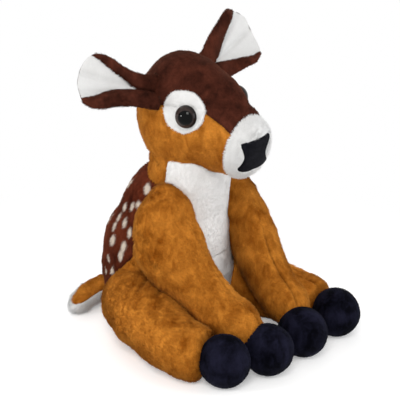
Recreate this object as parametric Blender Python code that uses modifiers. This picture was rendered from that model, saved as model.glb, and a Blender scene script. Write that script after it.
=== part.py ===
"""A sitting plush deer: fabric panels over stuffing, plastic eyes, limbs that flex at their seams.

The deer faces -Y, its left side is +X, and it sits on the floor plane z = 0. The origin is the
centre of the flat of its seat. Lengths are metres.
"""

import math

import bmesh
import bpy
from mathutils import Matrix, Vector

MM = 0.001

# Cloth, seams and clearances
FABRIC = 1.6 * MM            # plush backing with the root of its pile
STUFFING_GAP = 0.6 * MM      # between the cloth and the stuffing inside it
SEAM_GAP = 0.7 * MM          # between two panels sewn edge to edge
CLEARANCE = 0.6 * MM         # between two stuffed shapes that lie against each other
SEAT_CUT = 0.5 * MM          # how much of each round underside is flattened on the floor
CUTTER_REACH = 400 * MM      # size of a plane-like cutter, larger than the toy
SNAP = 0.02 * MM             # a slice passing this close to a vertex goes through it

# Body
BODY_HEIGHT = 200 * MM       # floor to the top of the neck dome hidden in the head
BODY_RADIUS = 65 * MM        # at its widest, a little above the floor
SEAT_DOME = 36 * MM          # height over which the round underside swells to full width
NECK_RADIUS = 40.5 * MM
NECK_TOP_RADIUS = 36 * MM    # inside the head
NECK_FORWARD = 26.3 * MM     # the neck and head stand this far in front of the seat's centre
NECK_BASE_Z = 150 * MM
NECK_DOME = 30 * MM
SEAT_BLUNTNESS = 2.4         # 2 would be a round underside, more is flatter
NECK_SEAM_Z = 157 * MM       # top edge of the spotted back, at the middle of the seat
NECK_SEAM_RISE = 0.30        # and how steeply it climbs backward
SIDE_SEAM_Y = -37 * MM       # white front meets tan sides
BACK_SEAM_Y = 43 * MM        # tan sides meet the spotted back, at the floor
BACK_SEAM_LEAN = 0.52        # and how steeply that seam leans forward as it climbs
BELLY_SEAM_Z = 77 * MM
SEAT_SEAM_Z = 20 * MM

# Head, before it is tilted to one side
HEAD_X = -5 * MM             # the head sits a little to the deer's right of the neck's axis
HEAD_Z = 211.3 * MM          # centre of the skull
HEAD_TILT = 6.0              # degrees, the deer's left ear up
SKULL_HALF_WIDTH = 41.5 * MM
SKULL_HALF_HEIGHT = 57.5 * MM
SKULL_DOME = 46 * MM
MUZZLE_REACH = 89 * MM       # centre of the skull to the tip of the nose
MUZZLE_DROP = 22 * MM        # the tip of the muzzle lies this much below the skull's centre
MUZZLE_DOME = 18 * MM
MUZZLE_BLUNTNESS = 3.0
CROWN_SEAM_Z = 229 * MM
CROWN_SEAM_BEND_Y = -78 * MM
CROWN_SEAM_SLOPE = 28.0      # degrees, falling towards the nose
MUZZLE_SEAM_Y = -97 * MM
MUZZLE_SEAM_Z = 196 * MM
MUZZLE_SEAM_LEAN = 23.0      # degrees, top edge further forward

# Nose, a thin piece of black cloth sewn on the muzzle
NOSE_WIDTH = 38 * MM
NOSE_SHIFT = -4 * MM          # sewn on a little towards the deer's right
NOSE_HEIGHT = 31 * MM
NOSE_Z = 190 * MM
NOSE_THICKNESS = 1.0 * MM

# Eyes: a plastic dome with a shank, a cloth ring under it, a washer inside the head
EYE_RADIUS = 10.4 * MM
EYE_HEIGHT = 8.5 * MM
EYE_X = 30 * MM
EYE_Y = -61 * MM
EYE_Z = 223.5 * MM
SHANK_RADIUS = 2.2 * MM
SHANK_LENGTH = 12 * MM
WASHER_RADIUS = 7.0 * MM
WASHER_THICKNESS = 1.5 * MM
WASHER_DEPTH = 4.4 * MM      # below the outside of the cloth
HOLE_CLEARANCE = 0.4 * MM
PATCH_HALF_WIDTH = 21 * MM
PATCH_HALF_HEIGHT = 19.5 * MM
PATCH_THICKNESS = 0.8 * MM
PATCH_GAP = 1.0 * MM
PATCH_BACK = 4.5 * MM        # the cloth ring's centre lies behind and above the eye
PATCH_UP = 3.5 * MM

# Ears
EAR_LENGTH = 78 * MM
EAR_WIDTH = 53 * MM
EAR_CUP = 13 * MM            # depth of the hollow at the ear's widest
EAR_THICKNESS = 2.4 * MM
LINING_THICKNESS = 1.2 * MM
LINING_GAP = 0.9 * MM         # along the depth of the hollow
EAR_ROOT_X = 33 * MM
EAR_ROOT_Y = -25 * MM
EAR_ROOT_Z = 240 * MM
EAR_SIDEWAYS = 70 * MM       # root to tip, across
EAR_BACKWARD = 14 * MM
EAR_RISE = 28 * MM
EAR_FACING_UP_SHARE = 0.48   # the hollow faces forward and this share upward

# Hooves
HOOF_RADIUS = 22.2 * MM
HOOF_SEAM = 17 * MM          # hoof centre to the seam where the leg begins
LEG_OVERLAP = 6 * MM         # a leg's shape runs this far past the seam before it is cut there

# Front legs
SHOULDER_X = 42 * MM
SHOULDER_Y = -36 * MM
SHOULDER_Z = 152 * MM
FRONT_HOOF_X = 24.5 * MM
FRONT_HOOF_SHIFT = -6.3 * MM  # both front hooves lie a little to the deer's right
FRONT_HOOF_Y = -155.5 * MM
FRONT_LEG_WIDTH = 23 * MM     # half, across the leg at its widest
FRONT_LEG_DEPTH = 34 * MM     # half, front to back at its widest
FRONT_LEG_OUT = 14 * MM       # how far the elbow bows away from the body
FRONT_LEG_FACING = 40         # degrees, the flat of the upper leg faces outward and forward
SHOULDER_DOME = 22 * MM

# Hind legs, lying on the floor
HIP_X = 42 * MM
HIP_Y = 12 * MM
HIND_HOOF_X = 73.7 * MM
HIND_HOOF_Y = -147 * MM
HIND_HOOF_SKEW = 4.5 * MM     # the deer's left hoof reaches further forward by twice this
HIND_LEG_RADIUS = 34.5 * MM
HIND_LEG_BOWS = (21 * MM, 4 * MM)  # how far the right and the left leg bend outward
HIP_DOME = 26 * MM

# Tail
TAIL_BASE_Y = 50 * MM
TAIL_REACH = 74 * MM          # across, towards the deer's right
TAIL_OUT = 20 * MM
TAIL_HEIGHT = 24 * MM
TAIL_WIDTH = 14 * MM          # half
TAIL_DEPTH = 9.5 * MM         # half
TAIL_DOME = 10 * MM
TAIL_SEAM_EASE = 0.4 * MM     # its two cloths turn inward at the seam, so each stops this much short

# Joints: where each seam flexes, and how far, in degrees
SHOULDER_PIVOT_Y = -22 * MM
SHOULDER_PIVOT_Z = 152 * MM
FRONT_LEG_RAISE = 35
HIP_PIVOT_X = 44 * MM
HIP_PIVOT_Y = 16 * MM
HIND_LEG_SPLAY = 18
TAIL_PIVOT_Y = 52 * MM
TAIL_PIVOT_Z = 24 * MM
TAIL_RAISE = 20
EAR_FLEX = 12

SWEEP_STEPS = 3              # copies of a neighbour that cut a limb free over its range

# Mesh density: rings along a shape and points round it
BODY_RINGS, BODY_SIDES = 16, 24
HEAD_RINGS, HEAD_SIDES = 15, 20
LEG_RINGS, LEG_SIDES = 12, 16
TAIL_RINGS, TAIL_SIDES = 8, 16
HOOF_RINGS, HOOF_SEGMENTS = 8, 16
EYE_STEPS, EYE_SEGMENTS = 5, 16
PATCH_RINGS, PATCH_SIDES = 3, 16
NOSE_RINGS = 4
EAR_COLUMNS = 8
TANGENT_STEP = 0.005         # share of a shape's length over which its direction is taken

# The exact solver loses some of the thin curved cloth of the limbs, so they are cut with this one
THIN_SOLVER = "MANIFOLD"

UP = Vector((0, 0, 1))
ACROSS = Vector((1, 0, 0))
BACKWARD = Vector((0, 1, 0))

COLOURS = {
    "tan": ((0.480, 0.171, 0.026), 0.90),
    "chocolate": ((0.091, 0.017, 0.010), 0.90),
    "dark_brown": ((0.070, 0.021, 0.012), 0.90),
    "white": ((0.86, 0.86, 0.84), 0.92),
    "hoof_black": ((0.006, 0.006, 0.016), 0.85),
    "nose_black": ((0.011, 0.011, 0.014), 0.60),
    "eye_brown": ((0.030, 0.020, 0.018), 0.08),
    "washer_white": ((0.75, 0.75, 0.72), 0.45),
    "stuffing": ((0.90, 0.90, 0.88), 0.95),
}


# Scene and materials

def clear_scene():
    for item in list(bpy.data.objects):
        bpy.data.objects.remove(item, do_unlink=True)


def new_collection(name):
    collection = bpy.data.collections.new(name)
    bpy.context.scene.collection.children.link(collection)
    return collection


clear_scene()
PARTS = new_collection("plush_deer")
GUIDES = new_collection("cutters_and_guides")


def colour(item, name):
    material = bpy.data.materials.new(item.name + "_" + name)
    material.use_nodes = True
    shader = material.node_tree.nodes["Principled BSDF"]
    base, roughness = COLOURS[name]
    shader.inputs["Base Color"].default_value = (*base, 1)
    shader.inputs["Roughness"].default_value = roughness
    shader.inputs["Metallic"].default_value = 0
    material.diffuse_color = (*base, 1)
    item.data.materials.clear()
    item.data.materials.append(material)


def new_object(name, mesh, collection):
    item = bpy.data.objects.new(name, mesh)
    collection.objects.link(item)
    if collection is GUIDES:
        item.hide_render = True
        item.display_type = "WIRE"
    return item


def mesh_from(name, bm):
    bm.normal_update()
    bmesh.ops.recalc_face_normals(bm, faces=bm.faces)
    mesh = bpy.data.meshes.new(name)
    bm.to_mesh(mesh)
    bm.free()
    mesh.shade_smooth()
    return mesh


# Stuffed shapes: oval rings strung on a curved spine and closed by a dome at each end

class Stuffed:
    """rows: spine x, y, z, half width and half height of each station, from one end to the other."""

    def __init__(self, rows, across, start_dome, end_dome, start_bluntness=2.0, end_bluntness=2.0):
        self.rows = [Vector(row) for row in rows]
        self.across = Vector(across).normalized()
        self.domes = (start_dome, end_dome)
        self.bluntness = (start_bluntness, end_bluntness)
        self.knots = [0.0]
        for before, after in zip(self.rows, self.rows[1:]):
            step = (Vector(after[:3]) - Vector(before[:3])).length
            self.knots.append(self.knots[-1] + step)
        self.length = self.knots[-1]

    def slope(self, index):
        """Tangent at a station, from the stations on either side."""
        low = max(index - 1, 0)
        high = min(index + 1, len(self.rows) - 1)
        return (self.rows[high] - self.rows[low]) / (self.knots[high] - self.knots[low])

    def row_at(self, distance):
        index = 0
        while index < len(self.knots) - 2 and distance > self.knots[index + 1]:
            index += 1
        span = self.knots[index + 1] - self.knots[index]
        t = (distance - self.knots[index]) / span
        start, end = self.rows[index], self.rows[index + 1]
        rise, fall = self.slope(index) * span, self.slope(index + 1) * span
        square, cube = t * t, t * t * t
        return (start * (2 * cube - 3 * square + 1) + rise * (cube - 2 * square + t)
                + end * (3 * square - 2 * cube) + fall * (cube - square))

    def dome_share(self, distance):
        share = 1.0
        gaps = (distance, self.length - distance)
        for gap, dome, bluntness in zip(gaps, self.domes, self.bluntness):
            if gap < dome:
                share *= max(1 - (1 - gap / dome) ** bluntness, 0) ** (1 / bluntness)
        return share

    def point(self, share, angle):
        distance = share * self.length
        row = self.row_at(distance)
        step = self.length * TANGENT_STEP
        ahead = self.row_at(min(distance + step, self.length))
        behind = self.row_at(max(distance - step, 0))
        along = (Vector(ahead[:3]) - Vector(behind[:3])).normalized()
        across = (self.across - along * self.across.dot(along)).normalized()
        over = along.cross(across)
        size = self.dome_share(distance)
        return (Vector(row[:3]) + across * (row[3] * size * math.cos(angle))
                + over * (row[4] * size * math.sin(angle)))

    def mesh(self, name, rings, sides):
        bm = bmesh.new()
        loops = []
        for ring in range(1, rings):
            share = (1 - math.cos(math.pi * ring / rings)) / 2
            loops.append([bm.verts.new(self.point(share, 2 * math.pi * side / sides))
                          for side in range(sides)])
        for low, high in zip(loops, loops[1:]):
            for side in range(sides):
                after = (side + 1) % sides
                bm.faces.new((low[side], low[after], high[after], high[side]))
        for loop, share in ((loops[0], 0), (loops[-1], 1)):
            pole = bm.verts.new(self.point(share, 0))
            for side in range(sides):
                bm.faces.new((loop[side], loop[(side + 1) % sides], pole))
        return mesh_from(name, bm)


def flatten_on_floor(mesh):
    """Cut a closed mesh at z = 0 and close the cut with one flat face."""
    bm = bmesh.new()
    bm.from_mesh(mesh)
    slice_closed(bm, Vector((0, 0, 0)), UP)
    bm.to_mesh(mesh)
    bm.free()
    mesh.shade_smooth()


def triangulate(mesh):
    """Three-sided faces, so that what is cut from a surface or laid on it keeps its exact shape."""
    bm = bmesh.new()
    bm.from_mesh(mesh)
    bmesh.ops.triangulate(bm, faces=bm.faces)
    bm.to_mesh(mesh)
    bm.free()


def slice_closed(bm, point, keep_side):
    """Remove what lies behind a plane and cap the cut."""
    cut = bmesh.ops.bisect_plane(
        bm, geom=bm.verts[:] + bm.edges[:] + bm.faces[:], dist=SNAP, plane_co=point,
        plane_no=keep_side, clear_inner=True, clear_outer=False)
    edges = [part for part in cut["geom_cut"] if isinstance(part, bmesh.types.BMEdge)]
    bmesh.ops.contextual_create(bm, geom=edges)
    bmesh.ops.recalc_face_normals(bm, faces=bm.faces)


# Panels, stuffing and cutters

def boolean(item, cutter, solver="EXACT"):
    cut = item.modifiers.new("cut_" + cutter.name, "BOOLEAN")
    cut.operation = "DIFFERENCE"
    cut.solver = solver
    cut.object = cutter


def displaced(item, distance):
    push = item.modifiers.new("offset", "DISPLACE")
    push.direction = "NORMAL"
    push.mid_level = 0
    push.strength = distance


def settle(item):
    """Apply an object's modifiers and keep its largest connected body."""
    bpy.context.view_layer.update()
    evaluated = item.evaluated_get(bpy.context.evaluated_depsgraph_get())
    mesh = bpy.data.meshes.new_from_object(evaluated)
    item.modifiers.clear()
    bm = bmesh.new()
    bm.from_mesh(mesh)
    islands = []
    unseen = set(bm.verts)
    while unseen:
        island, queue = set(), [unseen.pop()]
        while queue:
            vertex = queue.pop()
            island.add(vertex)
            for edge in vertex.link_edges:
                other = edge.other_vert(vertex)
                if other in unseen:
                    unseen.remove(other)
                    queue.append(other)
        islands.append(island)
    islands.sort(key=len)
    for island in islands[:-1]:
        bmesh.ops.delete(bm, geom=list(island), context="VERTS")
    bm.to_mesh(mesh)
    bm.free()
    mesh.shade_smooth()
    item.data = mesh


def panel(name, surface, slices, keep, look, matrix=Matrix()):
    """A cloth panel: the part of a closed surface that keep() accepts, thickened inward.

    slices are (point, normal) planes; each is cut half a seam gap to its own positive side.
    """
    bm = bmesh.new()
    bm.from_mesh(surface)
    for point, normal in slices:
        normal = Vector(normal).normalized()
        bmesh.ops.bisect_plane(
            bm, geom=bm.verts[:] + bm.edges[:] + bm.faces[:], dist=SNAP,
            plane_co=Vector(point) + normal * (SEAM_GAP / 2), plane_no=normal)
    extra = [face for face in bm.faces if not keep(face.calc_center_median())]
    bmesh.ops.delete(bm, geom=extra, context="FACES")
    mesh = bpy.data.meshes.new(name)
    bm.to_mesh(mesh)
    bm.free()
    mesh.shade_smooth()
    item = new_object(name, mesh, PARTS)
    item.matrix_world = matrix
    skin = item.modifiers.new("cloth", "SOLIDIFY")
    skin.thickness = FABRIC
    skin.offset = -1
    colour(item, look)
    return item


def inside(point, place, normal):
    """True where a point lies on a plane's positive side, past half the seam gap."""
    normal = Vector(normal).normalized()
    return (point - Vector(place)).dot(normal) > SEAM_GAP / 2


def flip(seam):
    """The same seam plane, facing the other way."""
    return (seam[0], -seam[1])


def within(seams):
    """The test for a panel that lies on the positive side of each of its seam planes."""
    return lambda centre: all(inside(centre, *seam) for seam in seams)


def stuffing(name, surface, matrix=Matrix()):
    item = new_object(name, surface.copy(), PARTS)
    item.matrix_world = matrix
    displaced(item, -(FABRIC + STUFFING_GAP))
    colour(item, "stuffing")
    return item


def envelope(name, surface, matrix=Matrix()):
    """A guide slightly larger than a stuffed shape, to cut what lies against it."""
    item = new_object(name, surface.copy(), GUIDES)
    item.matrix_world = matrix
    displaced(item, CLEARANCE)
    settle(item)
    return item


def turned_copies(guide, pivot, axis, limit):
    """Copies of a guide turned about a joint, so that a limb cut by them can swing freely."""
    copies = []
    for step in range(1, SWEEP_STEPS + 1):
        angle = limit * step / SWEEP_STEPS
        copy = new_object(f"{guide.name}_{angle:+.0f}", guide.data, GUIDES)
        turn = Matrix.Rotation(math.radians(angle), 4, axis)
        about = Matrix.Translation(pivot) @ turn @ Matrix.Translation(-pivot)
        copy.matrix_world = about @ guide.matrix_world
        copies.append(copy)
    return copies


def hinge(name, pivot, parent=None):
    empty = bpy.data.objects.new(name, None)
    empty.empty_display_size = HOOF_RADIUS
    PARTS.objects.link(empty)
    empty.location = pivot
    if parent is not None:
        bpy.context.view_layer.update()
        empty.parent = parent
        empty.matrix_parent_inverse = parent.matrix_world.inverted()
    return empty


def hang(item, empty):
    bpy.context.view_layer.update()
    item.parent = empty
    item.matrix_parent_inverse = empty.matrix_world.inverted()


# Body

# height share, forward share of the neck's place, radius share of the body
BODY_SHARES = [
    (0.000, 0.00, 0.94),
    (0.225, -0.03, 1.00),
    (0.385, 0.10, 0.975),
    (0.500, 0.35, 0.865),
    (0.615, 0.60, 0.765),
]


def body_shape():
    rows = [(0, -NECK_FORWARD * forward, BODY_HEIGHT * height - SEAT_CUT,
             BODY_RADIUS * width, BODY_RADIUS * width) for height, forward, width in BODY_SHARES]
    rows.append((0, -NECK_FORWARD, NECK_BASE_Z, NECK_RADIUS, NECK_RADIUS))
    for height in ((NECK_BASE_Z + BODY_HEIGHT) / 2, BODY_HEIGHT):
        rows.append((0, -NECK_FORWARD, height, NECK_TOP_RADIUS, NECK_TOP_RADIUS))
    return Stuffed(rows, ACROSS, SEAT_DOME, NECK_DOME, start_bluntness=SEAT_BLUNTNESS)


def make_body():
    surface = body_shape().mesh("body_surface", BODY_RINGS, BODY_SIDES)
    flatten_on_floor(surface)
    triangulate(surface)
    neck_seam = ((0, 0, NECK_SEAM_Z), Vector((0, -NECK_SEAM_RISE, 1)))
    side_seam = ((0, SIDE_SEAM_Y, 0), BACKWARD)
    back_seam = ((0, BACK_SEAM_Y, 0), Vector((0, 1, BACK_SEAM_LEAN)))
    belly_seam = ((0, 0, BELLY_SEAM_Z), UP)
    seat_seam = ((0, 0, SEAT_SEAM_Z), UP)

    panels = {
        "neck_panel": ([neck_seam, side_seam], "tan"),
        "back_panel": ([flip(neck_seam), back_seam, seat_seam], "chocolate"),
        "chest_bib": ([flip(side_seam), belly_seam], "white"),
        "belly_panel": ([flip(side_seam), flip(belly_seam), seat_seam], "white"),
        "seat_panel": ([flip(seat_seam)], "tan"),
    }
    for side, sign in (("right", -1), ("left", 1)):
        middle = ((0, 0, 0), ACROSS * sign)
        panels["flank_panel_" + side] = (
            [flip(neck_seam), side_seam, flip(back_seam), seat_seam, middle], "tan")
    for name, (seams, look) in panels.items():
        panel(name, surface, seams, within(seams), look)
    stuffing("body_stuffing", surface)
    return surface, envelope("body_envelope", surface)


# Head

# reach share of the muzzle, drop share, width share and height share of the skull
HEAD_SHARES = [
    (-0.52, -0.02, 0.90, 0.88),
    (0.00, 0.00, 1.00, 1.00),
    (0.36, 0.16, 0.83, 0.88),
    (0.67, 0.58, 0.65, 0.63),
    (0.85, 0.84, 0.64, 0.50),
    (1.00, 1.00, 0.62, 0.465),
]


# half width share and half height share of the nose's outline, seen from the front
NOSE_SHARES = [
    (0.98, 0.78), (0.50, 0.96), (0.00, 1.00), (-0.50, 0.96), (-0.98, 0.78), (-0.78, 0.40),
    (-0.72, 0.00), (-0.82, -0.42), (-1.00, -0.86), (-0.50, -0.97), (0.00, -0.94), (0.50, -0.97),
    (1.00, -0.86), (0.82, -0.42), (0.72, 0.00), (0.78, 0.40)]


def head_tilt():
    """Places what is built about the skull's own middle: the tilt, then the step to one side."""
    centre = Vector((0, -NECK_FORWARD, HEAD_Z))
    turn = Matrix.Rotation(math.radians(HEAD_TILT), 4, BACKWARD)
    aside = Matrix.Translation(ACROSS * HEAD_X)
    return aside @ Matrix.Translation(centre) @ turn.inverted() @ Matrix.Translation(-centre)


def head_shape():
    centre_y = -NECK_FORWARD
    rows = [(0, centre_y - MUZZLE_REACH * reach, HEAD_Z - MUZZLE_DROP * drop,
             SKULL_HALF_WIDTH * width, SKULL_HALF_HEIGHT * height)
            for reach, drop, width, height in HEAD_SHARES]
    return Stuffed(rows, -ACROSS, SKULL_DOME, MUZZLE_DOME, end_bluntness=MUZZLE_BLUNTNESS)


def surface_frame(target, point, direction):
    """Where a line from point along direction last meets a closed mesh, and the way out there."""
    found, place, normal, _ = target.ray_cast(point + direction * CUTTER_REACH, -direction)
    return place, normal


def basis(place, normal, upward=UP):
    """A matrix whose Z is the normal and whose Y leans to the given direction."""
    z_axis = normal.normalized()
    x_axis = upward.cross(z_axis).normalized()
    y_axis = z_axis.cross(x_axis)
    matrix = Matrix((x_axis, y_axis, z_axis)).transposed().to_4x4()
    matrix.translation = place
    return matrix


def applique(name, outline, target, matrix, head_matrix, thickness, look, rings):
    """A flat piece of cloth with a star-shaped outline, laid on a surface and thickened outward."""
    bm = bmesh.new()
    centre = bm.verts.new((0, 0, 0))
    loops = []
    for ring in range(1, rings + 1):
        loops.append([bm.verts.new((x * ring / rings, y * ring / rings, 0)) for x, y in outline])
    count = len(outline)
    for spot in range(count):
        after = (spot + 1) % count
        bm.faces.new((centre, loops[0][spot], loops[0][after]))
        for low, high in zip(loops, loops[1:]):
            bm.faces.new((low[spot], high[spot], high[after], low[after]))
    bm.transform(matrix)
    mesh = bpy.data.meshes.new(name)
    bm.to_mesh(mesh)
    bm.free()
    mesh.shade_smooth()
    item = new_object(name, mesh, PARTS)
    item.matrix_world = head_matrix
    lay = item.modifiers.new("lay", "SHRINKWRAP")
    lay.target = target
    lay.wrap_method = "NEAREST_SURFACEPOINT"
    lay.wrap_mode = "OUTSIDE_SURFACE"
    lay.offset = PATCH_GAP
    skin = item.modifiers.new("cloth", "SOLIDIFY")
    skin.thickness = thickness
    skin.offset = 1
    colour(item, look)
    return item


def turned_piece(name, profile, matrix, collection):
    """A profile of (radius, height) points turned about the local Z axis."""
    bm = bmesh.new()
    spots = [bm.verts.new((radius, 0, height)) for radius, height in profile]
    for low, high in zip(spots, spots[1:]):
        bm.edges.new((low, high))
    mesh = bpy.data.meshes.new(name)
    bm.to_mesh(mesh)
    bm.free()
    item = new_object(name, mesh, collection)
    item.matrix_world = matrix
    turn = item.modifiers.new("turn", "SCREW")
    turn.steps = EYE_SEGMENTS
    turn.render_steps = EYE_SEGMENTS
    turn.use_merge_vertices = True
    turn.merge_threshold = SNAP
    turn.use_smooth_shade = True
    return item


def cylinder(name, radius, low, high, matrix):
    bm = bmesh.new()
    bmesh.ops.create_cone(bm, cap_ends=True, segments=EYE_SEGMENTS, radius1=radius, radius2=radius,
                          depth=high - low)
    bm.transform(matrix @ Matrix.Translation((0, 0, (low + high) / 2)))
    return new_object(name, mesh_from(name, bm), GUIDES)


def make_eye(side, sign, surface, head_matrix, cloth_pieces, core):
    """Dome and shank, cloth ring and washer on one side, all square to the head's surface."""
    guide = new_object("head_guide_" + side, surface, GUIDES)
    bpy.context.view_layer.update()
    outward = Vector((sign * EYE_X, EYE_Y + NECK_FORWARD, EYE_Z - HEAD_Z))
    skull = Vector((0, -NECK_FORWARD, HEAD_Z))
    place, normal = surface_frame(guide, skull, outward.normalized())
    face = head_matrix @ basis(place, normal)
    patch_centre = place + Vector((0, PATCH_BACK, PATCH_UP))
    ring_place, ring_normal = surface_frame(guide, skull, (patch_centre - skull).normalized())
    guide.matrix_world = head_matrix
    turns = [2 * math.pi * corner / PATCH_SIDES for corner in range(PATCH_SIDES)]
    outline = [(PATCH_HALF_WIDTH * math.cos(turn), PATCH_HALF_HEIGHT * math.sin(turn))
               for turn in turns]
    patch = applique("eye_patch_" + side, outline, guide, basis(ring_place, ring_normal),
                     head_matrix, PATCH_THICKNESS, "white", PATCH_RINGS)
    lift = PATCH_GAP + PATCH_THICKNESS + HOLE_CLEARANCE
    dome = [(EYE_RADIUS * math.sin(math.pi / 2 * k / EYE_STEPS),
             lift + EYE_HEIGHT * math.cos(math.pi / 2 * k / EYE_STEPS)) for k in range(EYE_STEPS + 1)]
    dome[0] = (0, lift + EYE_HEIGHT)
    profile = dome + [(SHANK_RADIUS, lift), (SHANK_RADIUS, lift - SHANK_LENGTH), (0, lift - SHANK_LENGTH)]
    eye = turned_piece("eye_" + side, profile, face, PARTS)
    colour(eye, "eye_brown")
    top = -WASHER_DEPTH
    hole_radius = SHANK_RADIUS + HOLE_CLEARANCE
    ring = [(WASHER_RADIUS, top), (WASHER_RADIUS, top - WASHER_THICKNESS),
            (hole_radius, top - WASHER_THICKNESS), (hole_radius, top), (WASHER_RADIUS, top)]
    washer = turned_piece("eye_washer_" + side, ring, face, PARTS)
    colour(washer, "washer_white")
    hole = cylinder("eye_hole_" + side, hole_radius, -SHANK_LENGTH, EYE_HEIGHT, face)
    pocket = cylinder("washer_pocket_" + side, WASHER_RADIUS + HOLE_CLEARANCE,
                      top - WASHER_THICKNESS - HOLE_CLEARANCE, EYE_HEIGHT, face)
    boolean(patch, hole)
    for item in cloth_pieces:
        boolean(item, hole, THIN_SOLVER)
    boolean(core, hole)
    boolean(core, pocket)
    return [patch, eye, washer]


def make_head(body_guide):
    surface = head_shape().mesh("head_surface", HEAD_RINGS, HEAD_SIDES)
    triangulate(surface)
    tilt = head_tilt()
    slope = math.radians(CROWN_SEAM_SLOPE)
    lean = math.radians(MUZZLE_SEAM_LEAN)
    level = ((0, 0, CROWN_SEAM_Z), UP)
    falling = ((0, CROWN_SEAM_BEND_Y, CROWN_SEAM_Z), Vector((0, -math.sin(slope), math.cos(slope))))
    muzzle = ((0, MUZZLE_SEAM_Y, MUZZLE_SEAM_Z), Vector((0, -math.cos(lean), -math.sin(lean))))

    def above(centre):
        return inside(centre, *level) or inside(centre, *falling)

    crown = panel("crown_panel", surface, [level, falling, flip(muzzle)],
                  lambda centre: above(centre) and inside(centre, *flip(muzzle)), "dark_brown", tilt)
    cloth = [crown]
    for side, sign in (("right", -1), ("left", 1)):
        middle = ((0, 0, 0), ACROSS * sign)
        seams = [flip(level), flip(falling), flip(muzzle), middle]
        cloth.append(panel("cheek_panel_" + side, surface, seams, within(seams), "tan", tilt))
    cloth.append(panel("muzzle_panel", surface, [muzzle], within([muzzle]), "white", tilt))
    core = stuffing("head_stuffing", surface, tilt)
    pieces = cloth + [core]
    for item in pieces:
        boolean(item, body_guide)
    for (side, sign), cheek in zip((("right", -1), ("left", 1)), cloth[1:3]):
        pieces += make_eye(side, sign, surface, tilt, [crown, cheek], core)
    guide = new_object("nose_guide", surface, GUIDES)
    bpy.context.view_layer.update()
    start = Vector((NOSE_SHIFT, -NECK_FORWARD, NOSE_Z))
    place, normal = surface_frame(guide, start, -BACKWARD)
    guide.matrix_world = tilt
    width, height = NOSE_WIDTH / 2, NOSE_HEIGHT / 2
    outline = [(width * x, height * y) for x, y in NOSE_SHARES]
    pieces.append(applique("nose", outline, guide, basis(place, normal), tilt, NOSE_THICKNESS,
                           "nose_black", NOSE_RINGS))
    return surface, tilt, pieces


# Ears

# length share, half width share and cup share along an ear
EAR_SHARES = [
    (0.00, 0.66, 0.80), (0.14, 0.68, 0.95), (0.30, 0.74, 1.00), (0.48, 0.84, 1.00), (0.64, 0.94, 0.90),
    (0.78, 1.00, 0.75), (0.89, 0.90, 0.55), (0.96, 0.62, 0.40), (1.00, 0.24, 0.30)]
# the white lining: narrow at the root, reaching the edge near the tip
LINING_SHARES = [
    (0.16, 0.06, 0.96), (0.30, 0.24, 1.00), (0.48, 0.47, 1.00), (0.64, 0.68, 0.90), (0.78, 0.84, 0.75),
    (0.88, 0.84, 0.55), (0.94, 0.62, 0.43)]


def ear_frame(sign):
    """Local X runs root to tip, Y across the ear, Z out of its hollow."""
    along = Vector((sign * EAR_SIDEWAYS, EAR_BACKWARD, EAR_RISE)).normalized()
    forward = Vector((0, -1, EAR_FACING_UP_SHARE))
    hollow = (forward - along * forward.dot(along)).normalized()
    over = hollow.cross(along)
    matrix = Matrix((along, over, hollow)).transposed().to_4x4()
    matrix.translation = Vector((sign * EAR_ROOT_X, EAR_ROOT_Y, EAR_ROOT_Z))
    return matrix


def ear_sheet(name, shares, lift, thickness, matrix, look):
    """A cupped leaf, its edges rolled towards the hollow side, thickened away from it."""
    bm = bmesh.new()
    rows = []
    for length, width, cup in shares:
        row = []
        for column in range(EAR_COLUMNS + 1):
            across = 2 * column / EAR_COLUMNS - 1
            full = EAR_WIDTH / 2 * width * across
            depth = EAR_CUP * cup * (2 * full / EAR_WIDTH) ** 2
            row.append(bm.verts.new((EAR_LENGTH * length, full, depth + lift)))
        rows.append(row)
    for low, high in zip(rows, rows[1:]):
        for column in range(EAR_COLUMNS):
            bm.faces.new((low[column], high[column], high[column + 1], low[column + 1]))
    mesh = bpy.data.meshes.new(name)
    bm.to_mesh(mesh)
    bm.free()
    mesh.shade_smooth()
    item = new_object(name, mesh, PARTS)
    item.matrix_world = matrix
    skin = item.modifiers.new("cloth", "SOLIDIFY")
    skin.thickness = thickness
    skin.offset = -1
    colour(item, look)
    return item


def make_ears(surface, tilt, neck):
    guide = envelope("head_envelope", surface, tilt)
    for side, sign in (("right", -1), ("left", 1)):
        place = tilt @ ear_frame(sign)
        pieces = [
            ear_sheet("ear_outer_" + side, EAR_SHARES, 0, EAR_THICKNESS, place, "dark_brown"),
            ear_sheet("ear_lining_" + side, LINING_SHARES, LINING_GAP + LINING_THICKNESS,
                      LINING_THICKNESS, place, "white"),
        ]
        axis = (place.to_3x3() @ BACKWARD).normalized()
        pivot = hinge("ear_flex_" + side, place.translation, neck)
        turns = [cutter for limit in (-EAR_FLEX, EAR_FLEX)
                 for cutter in turned_copies(guide, place.translation, axis, limit)]
        for item in pieces:
            for cutter in [guide] + turns:
                boolean(item, cutter, THIN_SOLVER)
            settle(item)
            hang(item, pivot)


# Legs

def hoof(name, centre, seam_point, seam_normal):
    """A ball of black velour, cut flat at the seam and where it stands."""
    bm = bmesh.new()
    bmesh.ops.create_uvsphere(bm, u_segments=HOOF_SEGMENTS, v_segments=HOOF_RINGS, radius=HOOF_RADIUS)
    bm.transform(Matrix.Translation(centre))
    slice_closed(bm, Vector((0, 0, 0)), UP)
    slice_closed(bm, seam_point - seam_normal * (SEAM_GAP / 2), -seam_normal)
    item = new_object(name, mesh_from(name, bm), PARTS)
    colour(item, "hoof_black")
    return item


def long_seam(sign, upper, hoof_centre):
    """The upright plane along a leg through two points of its spine, facing away from the body."""
    line = hoof_centre - upper
    normal = Vector((line.y, -line.x, 0)).normalized()
    return (tuple(upper), normal if normal.x * sign > 0 else -normal)


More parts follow.
